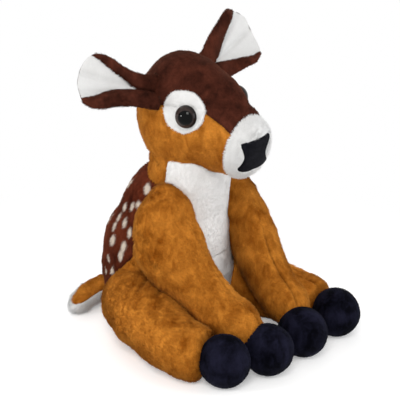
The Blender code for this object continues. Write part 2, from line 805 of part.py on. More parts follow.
def leg_pieces(name, side, shape, hoof_centre, split):
    """Outer and inner cloth, stuffing and hoof of one leg. split is the plane of its long seams."""
    surface = shape.mesh(f"{name}_surface_{side}", LEG_RINGS, LEG_SIDES)
    triangulate(surface)
    end = Vector(shape.rows[-1][:3])
    before = Vector(shape.rows[-2][:3])
    outward = (before - end).normalized()
    seam_point = hoof_centre + outward * HOOF_SEAM
    bm = bmesh.new()
    bm.from_mesh(surface)
    slice_closed(bm, Vector((0, 0, 0)), UP)
    bm.to_mesh(surface)
    slice_closed(bm, seam_point + outward * (SEAM_GAP / 2 + FABRIC), outward)
    core = bpy.data.meshes.new(surface.name + "_core")
    bm.to_mesh(core)
    bm.free()
    ankle = (tuple(seam_point), outward)
    outer_seams = [split, ankle]
    inner_seams = [flip(split), ankle]
    pieces = []
    for part, seams in (("outer", outer_seams), ("inner", inner_seams)):
        pieces.append(panel(f"{name}_{part}_{side}", surface, seams, within(seams), "tan"))
    pieces.append(stuffing(f"{name}_stuffing_{side}", core))
    pieces.append(hoof(f"{name}_hoof_{side}", hoof_centre, seam_point, outward))
    return surface, pieces


def ankle_rows(before, hoof_centre):
    """The last stations of a leg: its rounded end, drawn in to the seam with the hoof."""
    away = (before - hoof_centre).normalized()
    radius = math.sqrt(HOOF_RADIUS ** 2 - HOOF_SEAM ** 2)
    return [(*(hoof_centre + away * HOOF_SEAM), radius, radius), (*hoof_centre, radius, radius)]


# share of the way shoulder to hoof in depth and in height, outward share, width share, depth share
FRONT_LEG_SHARES = [
    (0.00, 0.00, 0.00, 0.62, 0.50),
    (0.03, 0.11, 0.10, 0.76, 0.66),
    (0.10, 0.29, 0.67, 0.92, 0.88),
    (0.22, 0.47, 0.90, 0.96, 0.92),
    (0.43, 0.66, 0.66, 0.93, 0.68),
    (0.59, 0.78, 0.50, 0.90, 0.61),
    (0.78, 0.87, 0.30, 0.88, 0.59),
]


def front_leg_shape(sign, hoof_centre):
    shoulder = Vector((sign * SHOULDER_X, SHOULDER_Y, SHOULDER_Z))
    way = hoof_centre - shoulder
    rows = []
    for forward, down, outward, width, depth in FRONT_LEG_SHARES:
        place = (shoulder.x + way.x * forward + sign * FRONT_LEG_OUT * outward,
                 shoulder.y + way.y * forward, shoulder.z + way.z * down)
        rows.append((*place, FRONT_LEG_WIDTH * width, FRONT_LEG_DEPTH * depth))
    rows += ankle_rows(Vector(rows[-1][:3]), hoof_centre)
    facing = math.radians(FRONT_LEG_FACING)
    thin = Vector((sign * math.cos(facing), -math.sin(facing), 0))
    return Stuffed(rows, thin, SHOULDER_DOME, LEG_OVERLAP)


# share of the way hip to hoof, bow share, radius share of the thigh
HIND_LEG_SHARES = [
    (0.000, 0.00, 0.94),
    (0.200, 0.46, 1.00),
    (0.370, 0.84, 0.95),
    (0.535, 1.00, 0.86),
    (0.712, 0.94, 0.77),
    (0.860, 0.58, 0.69),
]


def hind_leg_shape(sign, hoof_centre, bow):
    hip = Vector((sign * HIP_X, HIP_Y, 0))
    way = hoof_centre - hip
    rows = []
    for share, bend, size in HIND_LEG_SHARES:
        radius = HIND_LEG_RADIUS * size
        rows.append((hip.x + way.x * share + sign * bow * bend, hip.y + way.y * share,
                     radius - SEAT_CUT, radius, radius))
    rows += ankle_rows(Vector(rows[-1][:3]), hoof_centre)
    return Stuffed(rows, UP, HIP_DOME, LEG_OVERLAP)


def make_legs(body_guide):
    for side, sign, bow in (("right", -1, HIND_LEG_BOWS[0]), ("left", 1, HIND_LEG_BOWS[1])):
        hoof_z = HOOF_RADIUS - SEAT_CUT
        hind_hoof = Vector((sign * HIND_HOOF_X, HIND_HOOF_Y - sign * HIND_HOOF_SKEW, hoof_z))
        shape = hind_leg_shape(sign, hind_hoof, bow)
        split = long_seam(sign, Vector(shape.rows[1][:3]), hind_hoof)
        hind_surface, hind = leg_pieces("hind_leg", side, shape, hind_hoof, split)
        pivot_place = Vector((sign * HIP_PIVOT_X, HIP_PIVOT_Y, 0))
        pivot = hinge("hip_" + side, pivot_place)
        turns = turned_copies(body_guide, pivot_place, UP, -sign * HIND_LEG_SPLAY)
        for item in hind:
            if "hoof" not in item.name:
                for cutter in [body_guide] + turns:
                    boolean(item, cutter, THIN_SOLVER)
            settle(item)
            hang(item, pivot)
        beside = [envelope("hind_envelope_" + side, hind_surface),
                  envelope("hind_hoof_envelope_" + side, hind[-1].data)]

        front_hoof = Vector((sign * FRONT_HOOF_X + FRONT_HOOF_SHIFT, FRONT_HOOF_Y, hoof_z))
        shape = front_leg_shape(sign, front_hoof)
        split = long_seam(sign, Vector(shape.rows[2][:3]), front_hoof)
        _, front = leg_pieces("front_leg", side, shape, front_hoof, split)
        pivot_place = Vector((sign * SHOULDER_X, SHOULDER_PIVOT_Y, SHOULDER_PIVOT_Z))
        pivot = hinge("shoulder_" + side, pivot_place)
        turns = turned_copies(body_guide, pivot_place, ACROSS, FRONT_LEG_RAISE)
        for item in front:
            if "hoof" not in item.name:
                for cutter in [body_guide] + turns + beside:
                    boolean(item, cutter, THIN_SOLVER)
            settle(item)
            hang(item, pivot)


# Tail

# share of the way base to tip, backward share, height share, width share, depth share
TAIL_SHARES = [
    (0.00, 0.00, 1.00, 0.80, 1.00),
    (0.28, 0.70, 0.82, 0.95, 1.00),
    (0.56, 1.00, 0.65, 1.00, 0.98),
    (0.82, 0.78, 0.48, 0.76, 0.86),
    (1.00, 0.50, 0.37, 0.45, 0.70),
]


def make_tail(body_guide):
    rows = [(-TAIL_REACH * share, TAIL_BASE_Y + TAIL_OUT * back, TAIL_HEIGHT * height,
             TAIL_WIDTH * width, TAIL_DEPTH * depth) for share, back, height, width, depth in TAIL_SHARES]
    shape = Stuffed(rows, BACKWARD, TAIL_DOME, TAIL_DOME)
    surface = shape.mesh("tail_surface", TAIL_RINGS, TAIL_SIDES)
    fall = Vector((rows[-1][2] - rows[0][2], 0, TAIL_REACH)).normalized()
    split = ((0, 0, TAIL_HEIGHT + TAIL_SEAM_EASE), fall)
    under = ((0, 0, TAIL_HEIGHT - TAIL_SEAM_EASE), -fall)
    pieces = [
        panel("tail_top", surface, [split], within([split]), "tan"),
        panel("tail_underside", surface, [under], within([under]), "white"),
        stuffing("tail_stuffing", surface),
    ]
    pivot_place = Vector((0, TAIL_PIVOT_Y, TAIL_PIVOT_Z))
    pivot = hinge("tail_flex", pivot_place)
    turns = turned_copies(body_guide, pivot_place, BACKWARD, -TAIL_RAISE)
    for item in pieces:
        for cutter in [body_guide] + turns:
            boolean(item, cutter, THIN_SOLVER)
        settle(item)
        hang(item, pivot)


def build():
    body_surface, body_guide = make_body()
    neck = hinge("neck_turn", Vector((0, -NECK_FORWARD, NECK_BASE_Z)))
    head_surface, tilt, head_pieces = make_head(body_guide)
    for item in head_pieces:
        settle(item)
        hang(item, neck)
    make_ears(head_surface, tilt, neck)
    make_legs(body_guide)
    make_tail(body_guide)


build()
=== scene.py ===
"""Looks of the sitting plush deer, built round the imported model.

The deer faces -Y, its left side is +X, and it sits on z = 0. Lengths are metres.
Each stuffed form is a dense skin of the same shape as its solids, divided at its sewing seams into
panels, with mesh pile on it.
"""
import functools
import itertools
import math

import bmesh
import bpy
import numpy as np
from mathutils import Matrix, Vector
from mathutils.bvhtree import BVHTree
from mathutils.kdtree import KDTree


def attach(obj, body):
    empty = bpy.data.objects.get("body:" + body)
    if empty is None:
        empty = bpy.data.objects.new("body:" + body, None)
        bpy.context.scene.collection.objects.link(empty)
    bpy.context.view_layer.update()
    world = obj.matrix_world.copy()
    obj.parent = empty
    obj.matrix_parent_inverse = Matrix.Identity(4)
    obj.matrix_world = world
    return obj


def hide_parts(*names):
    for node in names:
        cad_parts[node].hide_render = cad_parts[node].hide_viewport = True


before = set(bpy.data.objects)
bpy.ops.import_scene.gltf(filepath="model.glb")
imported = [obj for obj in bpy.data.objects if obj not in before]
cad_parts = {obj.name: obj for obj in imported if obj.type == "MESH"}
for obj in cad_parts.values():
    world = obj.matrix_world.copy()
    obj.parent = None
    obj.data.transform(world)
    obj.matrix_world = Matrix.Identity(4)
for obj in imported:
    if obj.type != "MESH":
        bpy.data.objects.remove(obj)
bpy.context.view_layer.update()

MM = 0.001
UP = np.array((0.0, 0.0, 1.0))
ACROSS = np.array((1.0, 0.0, 0.0))
BACKWARD = np.array((0.0, 1.0, 0.0))

# Sizes, as in the solids except the body's and head's side seams, the hooves' fullness and the tail's
# height and depth
SEAT_CUT = 0.5 * MM
BODY_HEIGHT = 200 * MM
BODY_RADIUS = 65 * MM
SEAT_DOME = 36 * MM
SEAT_BLUNTNESS = 2.4
NECK_RADIUS = 40.5 * MM
NECK_TOP_RADIUS = 36 * MM
NECK_FORWARD = 26.3 * MM
NECK_BASE_Z = 150 * MM
NECK_DOME = 30 * MM
NECK_SEAM_Z = 157 * MM
NECK_SEAM_RISE = 0.30
HIDDEN_NECK_Z = 184 * MM      # the neck has no pile above this, inside the head
SIDE_SEAM_Y = -33.8 * MM
BACK_EDGE_Y = -12.8 * MM      # front edge of the spotted back, upright up to the turn
BACK_EDGE_TURN_Z = 112 * MM
BACK_EDGE_LEAN = 0.6          # and how steeply it leans forward above it
BACK_SEAM_Y = 71.1 * MM
BACK_SEAM_LEAN = 1.05
BELLY_SEAM_Z = 77 * MM
SEAT_SEAM_Z = 20 * MM

HEAD_X = -5 * MM
HEAD_Z = 211.3 * MM
HEAD_TILT = 6.0
SKULL_HALF_WIDTH = 41.5 * MM
SKULL_HALF_HEIGHT = 57.5 * MM
SKULL_DOME = 46 * MM
MUZZLE_REACH = 89 * MM
MUZZLE_DROP = 22 * MM
MUZZLE_DOME = 18 * MM
MUZZLE_BLUNTNESS = 3.0
CROWN_SEAM_Z = 231.5 * MM
CROWN_SEAM_BEND_Y = -74 * MM
CROWN_SEAM_SLOPE = 34.0
MUZZLE_SEAM_Y = -99.6 * MM
MUZZLE_SEAM_Z = 196 * MM
MUZZLE_SEAM_LEAN = 16.0
NOSE_HALF_WIDTH = 19 * MM
NOSE_SHIFT = -4 * MM
NOSE_HALF_HEIGHT = 15.5 * MM
NOSE_Z = 190 * MM

EYE_RADIUS = 10.4 * MM
EYE_HEIGHT = 8.5 * MM
EYE_PLACE = (30 * MM, -61 * MM, 223.5 * MM)
EYE_LIFT = 2.2 * MM           # of the dome's rim off the head, for the patch under it
PUPIL_SHIFT = 2.6 * MM
PUPIL_EDGE = (0.58, 0.66)     # shares of the eye's radius between which the colour changes
EYE_RIM = (0.84, 0.98)
SHANK_RADIUS = 2.2 * MM
SHANK_LENGTH = 12 * MM
EYE_MESH = (20, 64)
PATCH_HALF_SIZE = (21 * MM, 19.5 * MM)
PATCH_SIDES = 72
PATCH_CLOTH = (14, 1.7 * MM, 2.6 * MM)    # rings, thickness, width of the round edge
PATCH_TOP_SHARE = 0.2         # faces turned outward less than this carry no pile
NOSE_SIDES = 96
NOSE_CLOTH = (12, 1.9 * MM, 1.5 * MM)
PATCH_BACK = 4.5 * MM
PATCH_UP = 3.5 * MM

EAR_LENGTH = 78 * MM
EAR_WIDTH = 53 * MM
EAR_CUP = 13 * MM
EAR_THICKNESS = 2.4 * MM
EAR_ROOT = (33 * MM, -25 * MM, 240 * MM)
EAR_WAY = (70, 14, 28)        # root to tip
EAR_FACING_UP_SHARE = 0.48

HOOF_RADIUS = 22.2 * MM
HOOF_SEAM = 17 * MM
HOOF_FULLNESS = 1.06
LEG_OVERLAP = 6 * MM
LONG_SEAM_SHOWS = (0.30, 0.55)    # shares of the leg's length between which its long seam deepens
LONG_SEAM_LEAST = 0.12
GATHER_HEIGHT = 0.45 * MM
GATHER_REACH = 5 * MM
SHOULDER = (42 * MM, -36 * MM, 152 * MM)
FRONT_HOOF = (24.5 * MM, -155.5 * MM)
FRONT_HOOF_SHIFT = -6.3 * MM
FRONT_LEG_WIDTH = 23 * MM     # half
FRONT_LEG_DEPTH = 34 * MM     # half
FRONT_LEG_OUT = 14 * MM
FRONT_LEG_FACING = 40         # degrees
SHOULDER_DOME = 22 * MM
HIP = (42 * MM, 12 * MM)
HIND_HOOF = (73.7 * MM, -147 * MM)
HIND_HOOF_SKEW = 4.5 * MM
HIND_LEG_RADIUS = 34.5 * MM
HIND_LEG_BOWS = {-1: 21 * MM, 1: 4 * MM}
HIP_DOME = 26 * MM

TAIL_BASE_Y = 50 * MM
TAIL_REACH = 74 * MM
TAIL_OUT = 20 * MM
TAIL_HEIGHT = 22 * MM
TAIL_WIDTH = 14 * MM
TAIL_DEPTH = 8.6 * MM
TAIL_DOME = 10 * MM
TAIL_WHITE_RISE = 3.5 * MM    # the white starts this far above the tail's middle
TAIL_SHORT_PILE = (-26 * MM, -12 * MM)    # its pile gets shorter, and its painted shade deeper, between these, towards the root

CLOTH = 1.6 * MM
FILLING_GAP = 0.8 * MM
FILLING_DETAIL = 0.12
PILE_GAP = 0.9 * MM           # no pile this close beneath a patch of cloth
PATCH_SINK = 0.6 * MM         # how far a patch's bottom lies in the cloth under it
TEXTILE_FILL = {"body": 0.8, "head": 0.85, "leg": 0.75, "tail": 0.6, "ear": 0.3, "hoof": 0.9,
                "stuffing": 0.8}

# Pile: how deep strands start, and how they differ from their nap in waves and at random
STRAND_SINK = 0.3 * MM
STRAND_SIZES = (0.8, 1.2)
LOWEST_ROOT = 0.4 * MM
SMALL_RUFFLE_SHARE = 0.45
WAY_JITTER = 0.14
LEAN_WAVES, LEAN_JITTER = 0.22, 0.10
LENGTH_WAVES, LENGTH_JITTER = 0.18, 0.10
TINT_WAVES, TINT_JITTER = 0.27, 0.16
SEAM_SHORTENING = 0.5
TANGENT_STEP = 0.005

# Stations of each form, as shares of the sizes above
BODY_SHARES = [
    (0.000, 0.00, 0.94), (0.225, -0.03, 1.00), (0.385, 0.10, 0.975), (0.500, 0.35, 0.865),
    (0.615, 0.60, 0.765)]
HEAD_SHARES = [
    (-0.52, -0.02, 0.90, 0.88), (0.00, 0.00, 1.00, 1.00), (0.36, 0.16, 0.83, 0.88),
    (0.67, 0.58, 0.65, 0.63), (0.85, 0.84, 0.64, 0.50), (1.00, 1.00, 0.62, 0.465)]
NOSE_SHARES = [
    (1.02, 1.02), (0.52, 1.01), (0.00, 1.00), (-0.52, 1.01), (-1.02, 1.02), (-0.82, 0.48),
    (-0.70, 0.02), (-0.82, -0.42), (-1.06, -0.84), (-0.50, -0.97), (0.00, -0.94), (0.50, -0.97),
    (1.06, -0.84), (0.82, -0.42), (0.70, 0.02), (0.82, 0.48)]
# length share and depth share of an ear's hollow
EAR_CUPS = [
    (0.00, 0.80), (0.14, 0.95), (0.30, 1.00), (0.48, 1.00), (0.64, 0.90), (0.78, 0.75), (0.89, 0.55),
    (1.00, 0.32), (1.12, 0.25)]
# Each ear's outline and the edge of its lining: length share, half width share above and below
EAR_OUTLINES = {
    -1: [(0.00, 0.62, 0.64), (0.14, 0.54, 0.66), (0.30, 0.55, 0.66), (0.48, 0.66, 0.72),
         (0.64, 0.83, 0.82), (0.78, 0.90, 0.95), (0.89, 0.84, 0.95), (0.96, 0.60, 0.84),
         (1.00, 0.36, 0.66), (1.025, 0.08, 0.42), (1.04, -0.14, 0.14)],
    1: [(0.00, 0.66, 0.66), (0.14, 0.70, 0.68), (0.30, 0.86, 0.80), (0.48, 0.95, 0.96),
        (0.60, 0.97, 1.08), (0.78, 1.00, 1.08), (0.89, 0.92, 0.98), (0.98, 0.74, 0.76),
        (1.05, 0.50, 0.36), (1.10, 0.26, 0.02), (1.12, 0.12, -0.12)]}
LINING_OUTLINES = {
    -1: [(0.26, 0.00, 0.00), (0.36, 0.13, 0.04), (0.48, 0.31, 0.10), (0.62, 0.47, 0.18),
         (0.73, 0.64, 0.32), (0.84, 0.78, 0.48), (0.94, 0.90, 0.57), (1.08, 1.00, 0.62)],
    1: [(0.22, 0.00, 0.00), (0.31, 0.03, 0.17), (0.44, 0.17, 0.43), (0.55, 0.29, 0.62),
        (0.62, 0.37, 0.77), (0.70, 0.44, 0.90), (0.84, 0.55, 1.02), (1.00, 0.66, 1.10),
        (1.12, 0.70, 1.10)]}
EAR_TIP_ROUNDING = 0.05
EAR_ROWS = 84
EAR_COLUMNS = 91
EAR_ROLL = 5.5 * MM
EAR_ROLL_SHARE = 0.46
EAR_CREASES = (-0.10, 0.16)       # slope of each crease of the lining, across to along
EAR_CREASE_DEPTH = 1.4 * MM
EAR_CREASE_WIDTH = 2.6 * MM
EAR_CREASE_START = (0.12, 0.15, 0.35)   # length shares: where they meet, begin and reach their depth
EAR_LINING_LIFT = 0.3 * MM
EAR_LINING_SHADE = 0.75
EAR_RIM_GAP = 4.5 * MM            # brown pile stays this far from a bare white rim
EAR_CLOTH = (0.15 * MM, 0.6 * MM)  # brown and white
FRONT_LEG_SHARES = [
    (0.00, 0.00, 0.00, 0.62, 0.50), (0.03, 0.11, 0.10, 0.76, 0.66), (0.10, 0.29, 0.67, 0.92, 0.88),
    (0.22, 0.47, 0.90, 0.96, 0.92), (0.43, 0.66, 0.66, 0.93, 0.68), (0.59, 0.78, 0.50, 0.90, 0.61),
    (0.78, 0.87, 0.30, 0.88, 0.59)]
HIND_LEG_SHARES = [
    (0.000, 0.00, 0.94), (0.200, 0.46, 1.00), (0.370, 0.84, 0.95), (0.535, 1.00, 0.86),
    (0.712, 0.94, 0.77), (0.860, 0.58, 0.69)]
TAIL_SHARES = [
    (0.00, 0.00, 1.00, 0.80, 1.00), (0.28, 0.70, 0.82, 0.95, 1.00), (0.56, 1.00, 0.65, 1.00, 0.98),
    (0.82, 0.78, 0.48, 0.76, 0.86), (1.00, 0.50, 0.37, 0.45, 0.70)]

# Folds, in millimetres: start, end, depth and width, for the left side
BODY_FOLDS = [
    (33, -9, 176, 43, -34, 162, 2.2, 2.6), (38, -2, 163, 46, -33, 150, 2.0, 2.4),
    (30, 8, 172, 39, -12, 166, 1.2, 2.2), (55, -13, 100, 60, -34, 82, 2.4, 2.4),
    (57, -8, 90, 62, -34, 74, 2.2, 2.4), (60, -2, 78, 64, -30, 68, 1.8, 2.2)]
HIND_LEG_FOLDS = [
    (62, -36, 68, 86, -46, 60, 1.8, 2.8), (62, -54, 66, 84, -66, 58, 1.3, 2.6),
    (66, -16, 66, 90, -28, 52, 1.3, 3.0), (80, 2, 46, 94, -22, 34, 1.0, 3.0),
    (88, -112, 40, 96, -96, 46, 0.8, 2.6)]
FRONT_LEG_FOLDS = [
    (72, -26, 116, 75, -52, 108, 1.5, 2.4), (70, -20, 107, 77, -56, 94, 2.8, 2.6),
    (66, -20, 98, 77, -64, 87, 2.6, 2.4), (66, -28, 92, 75, -56, 78, 1.6, 2.2)]

# Rings and sides of each skin
BODY_MESH = (130, 180)
HEAD_MESH = (110, 150)
LEG_MESH = (110, 100)
HOOF_MESH = (56, 96)
TAIL_MESH = (70, 64)

# Pale spots of the back: across, y and z of each centre in millimetres, then half width and half height
SPOTS = [
    (-42, -15, 144, 3.4, 4.2), (-47, -8, 128, 2.5, 3.1), (-46, 11, 121, 2.6, 3.4),
    (-48, 0, 124, 2.0, 3.2), (-48, 16, 110, 2.4, 3.4), (-52, 5, 108, 2.4, 4.0),
    (-51, 18, 101, 2.5, 3.6), (-55, -4, 101, 2.3, 4.0), (-57, 16, 89, 3.6, 4.4),
    (-60, 0, 87, 2.6, 4.4), (-58, 25, 68, 3.2, 3.8), (-62, 2, 78, 3.0, 4.2), (-54, 34, 52, 2.8, 3.4),
    (-63, 15, 59, 2.6, 3.2), (-36, 44, 82, 3.0, 4.0), (-38, 35, 101, 2.6, 3.8),
    (-36, 26, 121, 2.4, 3.5), (-33, 18, 139, 2.6, 3.8), (-28, 54, 66, 2.8, 3.8),
    (-36, 50, 48, 2.6, 3.5), (-14, 60, 78, 3.0, 4.0), (-14, 52, 98, 2.7, 3.9),
    (-13, 42, 117, 2.6, 3.6), (-12, 31, 135, 2.4, 3.5), (-13, 63, 58, 2.7, 3.6),
    (-20, 60, 40, 2.4, 3.2)]
SPOT_EDGE = 1.6 * MM          # width over which a spot's colour fades
SPOT_SCALE = 1.12
SPOT_REACH = 14 * MM          # in and out of the surface

# Colours, linear
TAN = ((0.340, 0.094, 0.0055), (0.800, 0.305, 0.040))
CHOCOLATE = ((0.050, 0.008, 0.003), (0.215, 0.044, 0.018))
DARK_BROWN = ((0.026, 0.0068, 0.0040), (0.140, 0.037, 0.021))
WHITE = ((0.860, 0.855, 0.845), (0.950, 0.948, 0.940))
SPOT_COLOUR = (0.88, 0.77, 0.65, 1)
# the hooves' black is their own colour; its lighter shade, mixed in by random patches, is painted sheen
HOOF_BLACK_AND_PAINTED_SHEEN = ((0.0004, 0.0004, 0.0024), (0.0125, 0.0125, 0.0280))
NOSE_BLACK = ((0.0030, 0.0030, 0.0048), (0.0070, 0.0070, 0.0100))
FIBRE = ((0.76, 0.76, 0.74), (0.90, 0.90, 0.88))
WASHER = ((0.70, 0.70, 0.67), (0.78, 0.78, 0.75))
IRIS = ((0.026, 0.018, 0.016), (0.052, 0.036, 0.032))
EYE_RIM_COLOUR = (0.008, 0.006, 0.006)
PUPIL = (0.0008, 0.0008, 0.0008)

# Plush: size of each kind of mark, how much the first three count, and what makes it darker or lighter
PLUSH_PATCHES = 24 * MM
PLUSH_BRUSHED = 6.5 * MM
PLUSH_MOTTLES = 2.2 * MM
PLUSH_GRAIN = 0.8 * MM
PLUSH_SHARES = (0.48, 0.36, 0.14)
# painted shade at the pile's roots and painted light at its tips
ROOT_SHADE = 0.32
TIP_LIGHT = 1.06
TINT_RANGE = (-0.16, 0.14)
CLOTH_SHADE = (0.28, 0.10)
SEAM_SHADE = 0.55

# Camera
CAMERA_AZIMUTH = -46.0
CAMERA_ELEVATION = 19.0
CAMERA_DISTANCE = 0.950
CAMERA_TARGET = (-0.024018, -0.065, 0.140)
CAMERA_LENS = 93.628
CAMERA_SENSOR = 36.0

PILE_SHARE = 1.0

# Cloth simulation: voxel size, steps, pressure, spare length of the cloth, how far from a seam it is
# sewn fast and free, how high above the floor it stays put, how far a point moves at most, and how much
# of the general swelling is taken off again
SIM_VOXEL = 5 * MM
SIM_FRAMES = 20
SIM_PRESSURE = 4.0
SIM_SLACK = 0.03
SIM_PIN = (3 * MM, 9 * MM)
SIM_FLOOR = 3 * MM
SIM_CAP = 2.6 * MM
SIM_KEPT_SIZE = 0.8

# The bib is pulled smooth: lumps and seams fade between these depths, and its crowded rings are evened
CHEST_CALM = (-30 * MM, -44 * MM)
CHEST_CALM_RISE = 0.65
CHEST_CALM_SEAM = 0.5
CHEST_SMOOTH_Y = -14 * MM
CHEST_SMOOTH_Z = (56 * MM, 150 * MM)
CHEST_SMOOTHING = 150

# Stage
PLAIN_WHITE = (1, 1, 1)
FLOOR_COLOUR = (0.90, 0.90, 0.90)
FLOOR_RADIUS = 6.0
FLOOR_GLOW = 0.32
FLOOR_FADE = (0.16, 0.42)
WORLD_LIGHT = 0.53
LIGHT_TARGET = (-0.01, -0.06, 0.12)
# name, place, size across and up, watts, colour
LIGHTS = [
    ("key", (-0.90, -0.75, 1.15), 0.50, 0.50, 9.0, (1.0, 0.985, 0.96)),
    ("fill", (0.62, -1.10, 0.42), 0.8, 0.8, 6.2, (0.97, 0.985, 1.0)),
    ("rim", (0.35, 1.05, 0.95), 0.7, 0.5, 3.0, (1.0, 1.0, 1.0)),
    ("side", (-0.80, 0.20, 0.34), 0.11, 0.11, 1.6, (1.0, 1.0, 1.0))]


# Shared maths

def unit(vectors):
    vectors = np.asarray(vectors, float)
    return vectors / np.maximum(np.linalg.norm(vectors, axis=-1, keepdims=True), 1e-12)


class Noise:
    """Smooth random values between -1 and 1, the same each run. size is the width of one bump."""

    def __init__(self, seed, size):
        rng = np.random.default_rng(seed)
        self.table = rng.uniform(-1, 1, 4096)
        self.turn = np.linalg.qr(rng.normal(size=(3, 3)))[0]
        self.size = size

    def __call__(self, points):
        place = points @ self.turn / self.size
        cell = np.floor(place).astype(np.int64)
        t = place - cell
        t = t * t * (3 - 2 * t)
        total = np.zeros(len(points))
        for corner in itertools.product((0, 1), repeat=3):
            index = cell + corner
            key = (index[:, 0] * 73856093) ^ (index[:, 1] * 19349663) ^ (index[:, 2] * 83492791)
            total += np.prod(np.where(corner, t, 1 - t), axis=1) * self.table[key % 4096]
        return total


class Spline:
    """Smooth curve through rows of numbers at given knots."""

    def __init__(self, rows, knots):
        self.rows = np.array(rows, float)
        self.knots = np.array(knots, float)
        low = np.maximum(np.arange(len(rows)) - 1, 0)
        high = np.minimum(np.arange(len(rows)) + 1, len(rows) - 1)
        self.slopes = (self.rows[high] - self.rows[low]) / (self.knots[high] - self.knots[low])[:, None]

    def __call__(self, at):
        at = np.asarray(at, float)
        index = np.searchsorted(self.knots[1:-1], at, side="left")
        span = (self.knots[index + 1] - self.knots[index])[..., None]
        t = (at - self.knots[index])[..., None] / span
        square, cube = t * t, t * t * t
        return (self.rows[index] * (2 * cube - 3 * square + 1)
                + self.slopes[index] * span * (cube - 2 * square + t)
                + self.rows[index + 1] * (3 * square - 2 * cube)
                + self.slopes[index + 1] * span * (cube - square))


class Loft:
    """Oval rings strung on a curved spine and closed by a dome at each end, as in the solids."""

    def __init__(self, rows, across, start_dome, end_dome, start_bluntness=2.0, end_bluntness=2.0):
        rows = np.array(rows, float)
        steps = np.linalg.norm(np.diff(rows[:, :3], axis=0), axis=1)
        self.length = steps.sum()
        self.line = Spline(rows, np.concatenate(([0], np.cumsum(steps))))
        self.across = unit(across)
        self.domes = ((start_dome, start_bluntness), (end_dome, end_bluntness))

    def dome_share(self, distance):
        share = np.ones_like(distance)
        for gap, (dome, bluntness) in zip((distance, self.length - distance), self.domes):
            left = np.clip(1 - gap / dome, 0, 1)
            share *= np.maximum(1 - left ** bluntness, 0) ** (1 / bluntness)
        return share

    def grid(self, shares, angles):
        distance = shares * self.length
        row = self.line(distance)
        step = self.length * TANGENT_STEP
        ahead = self.line(np.minimum(distance + step, self.length))[:, :3]
        behind = self.line(np.maximum(distance - step, 0))[:, :3]
        along = unit(ahead - behind)
        across = unit(self.across - along * (along @ self.across)[:, None])
        over = np.cross(along, across)
        size = self.dome_share(distance)
        wide = (row[:, 3] * size)[:, None, None] * across[:, None, :]
        high = (row[:, 4] * size)[:, None, None] * over[:, None, :]
        return (row[:, None, :3] + wide * np.cos(angles)[None, :, None]
                + high * np.sin(angles)[None, :, None])

    def bmesh(self, rings, sides):
        shares = (1 - np.cos(np.pi * np.arange(rings + 1) / rings)) / 2
        angles = 2 * np.pi * np.arange(sides) / sides
        return closed_mesh(self.grid(shares, angles))


def closed_mesh(grid):
    """A closed surface through rings of points, of which the first and the last are one place each."""
    sides = len(grid[0])
    bm = bmesh.new()
    loops = [[bm.verts.new(point) for point in ring] for ring in grid[1:-1]]
    for low, high in zip(loops, loops[1:]):
        for side in range(sides):
            after = (side + 1) % sides
            bm.faces.new((low[side], low[after], high[after], high[side]))
    for loop, ring in ((loops[0], grid[0]), (loops[-1], grid[-1])):
        pole = bm.verts.new(ring.mean(0))
        for side in range(sides):
            bm.faces.new((loop[side], loop[(side + 1) % sides], pole))
    close_normals(bm)
    return bm


def ball(radius, rings, sides):
    """A sphere whose faces come in the same order each run."""
    turns = np.pi * np.arange(rings + 1)[:, None] / rings
    angles = 2 * np.pi * np.arange(sides) / sides
    places = (np.sin(turns) * np.cos(angles), np.sin(turns) * np.sin(angles), -np.cos(turns))
    return closed_mesh(radius * np.stack(np.broadcast_arrays(*places), -1))


def on_side(place, sign):
    """A place or way given for the deer's left, moved to the side of this sign."""
    return np.array(place) * (sign, 1, 1)


def ramp(values, start, end):
    """0 up to start and 1 from end on."""
    return np.clip((values - start) / (end - start), 0, 1)


def tree_of(places):
    tree = KDTree(len(places))
    for number, place in enumerate(places):
        tree.insert(place, number)
    tree.balance()
    return tree


def matrix_apply(matrix, points):
    matrix = np.array(matrix, float)
    return points @ matrix[:3, :3].T + matrix[:3, 3]


# Shader graphs

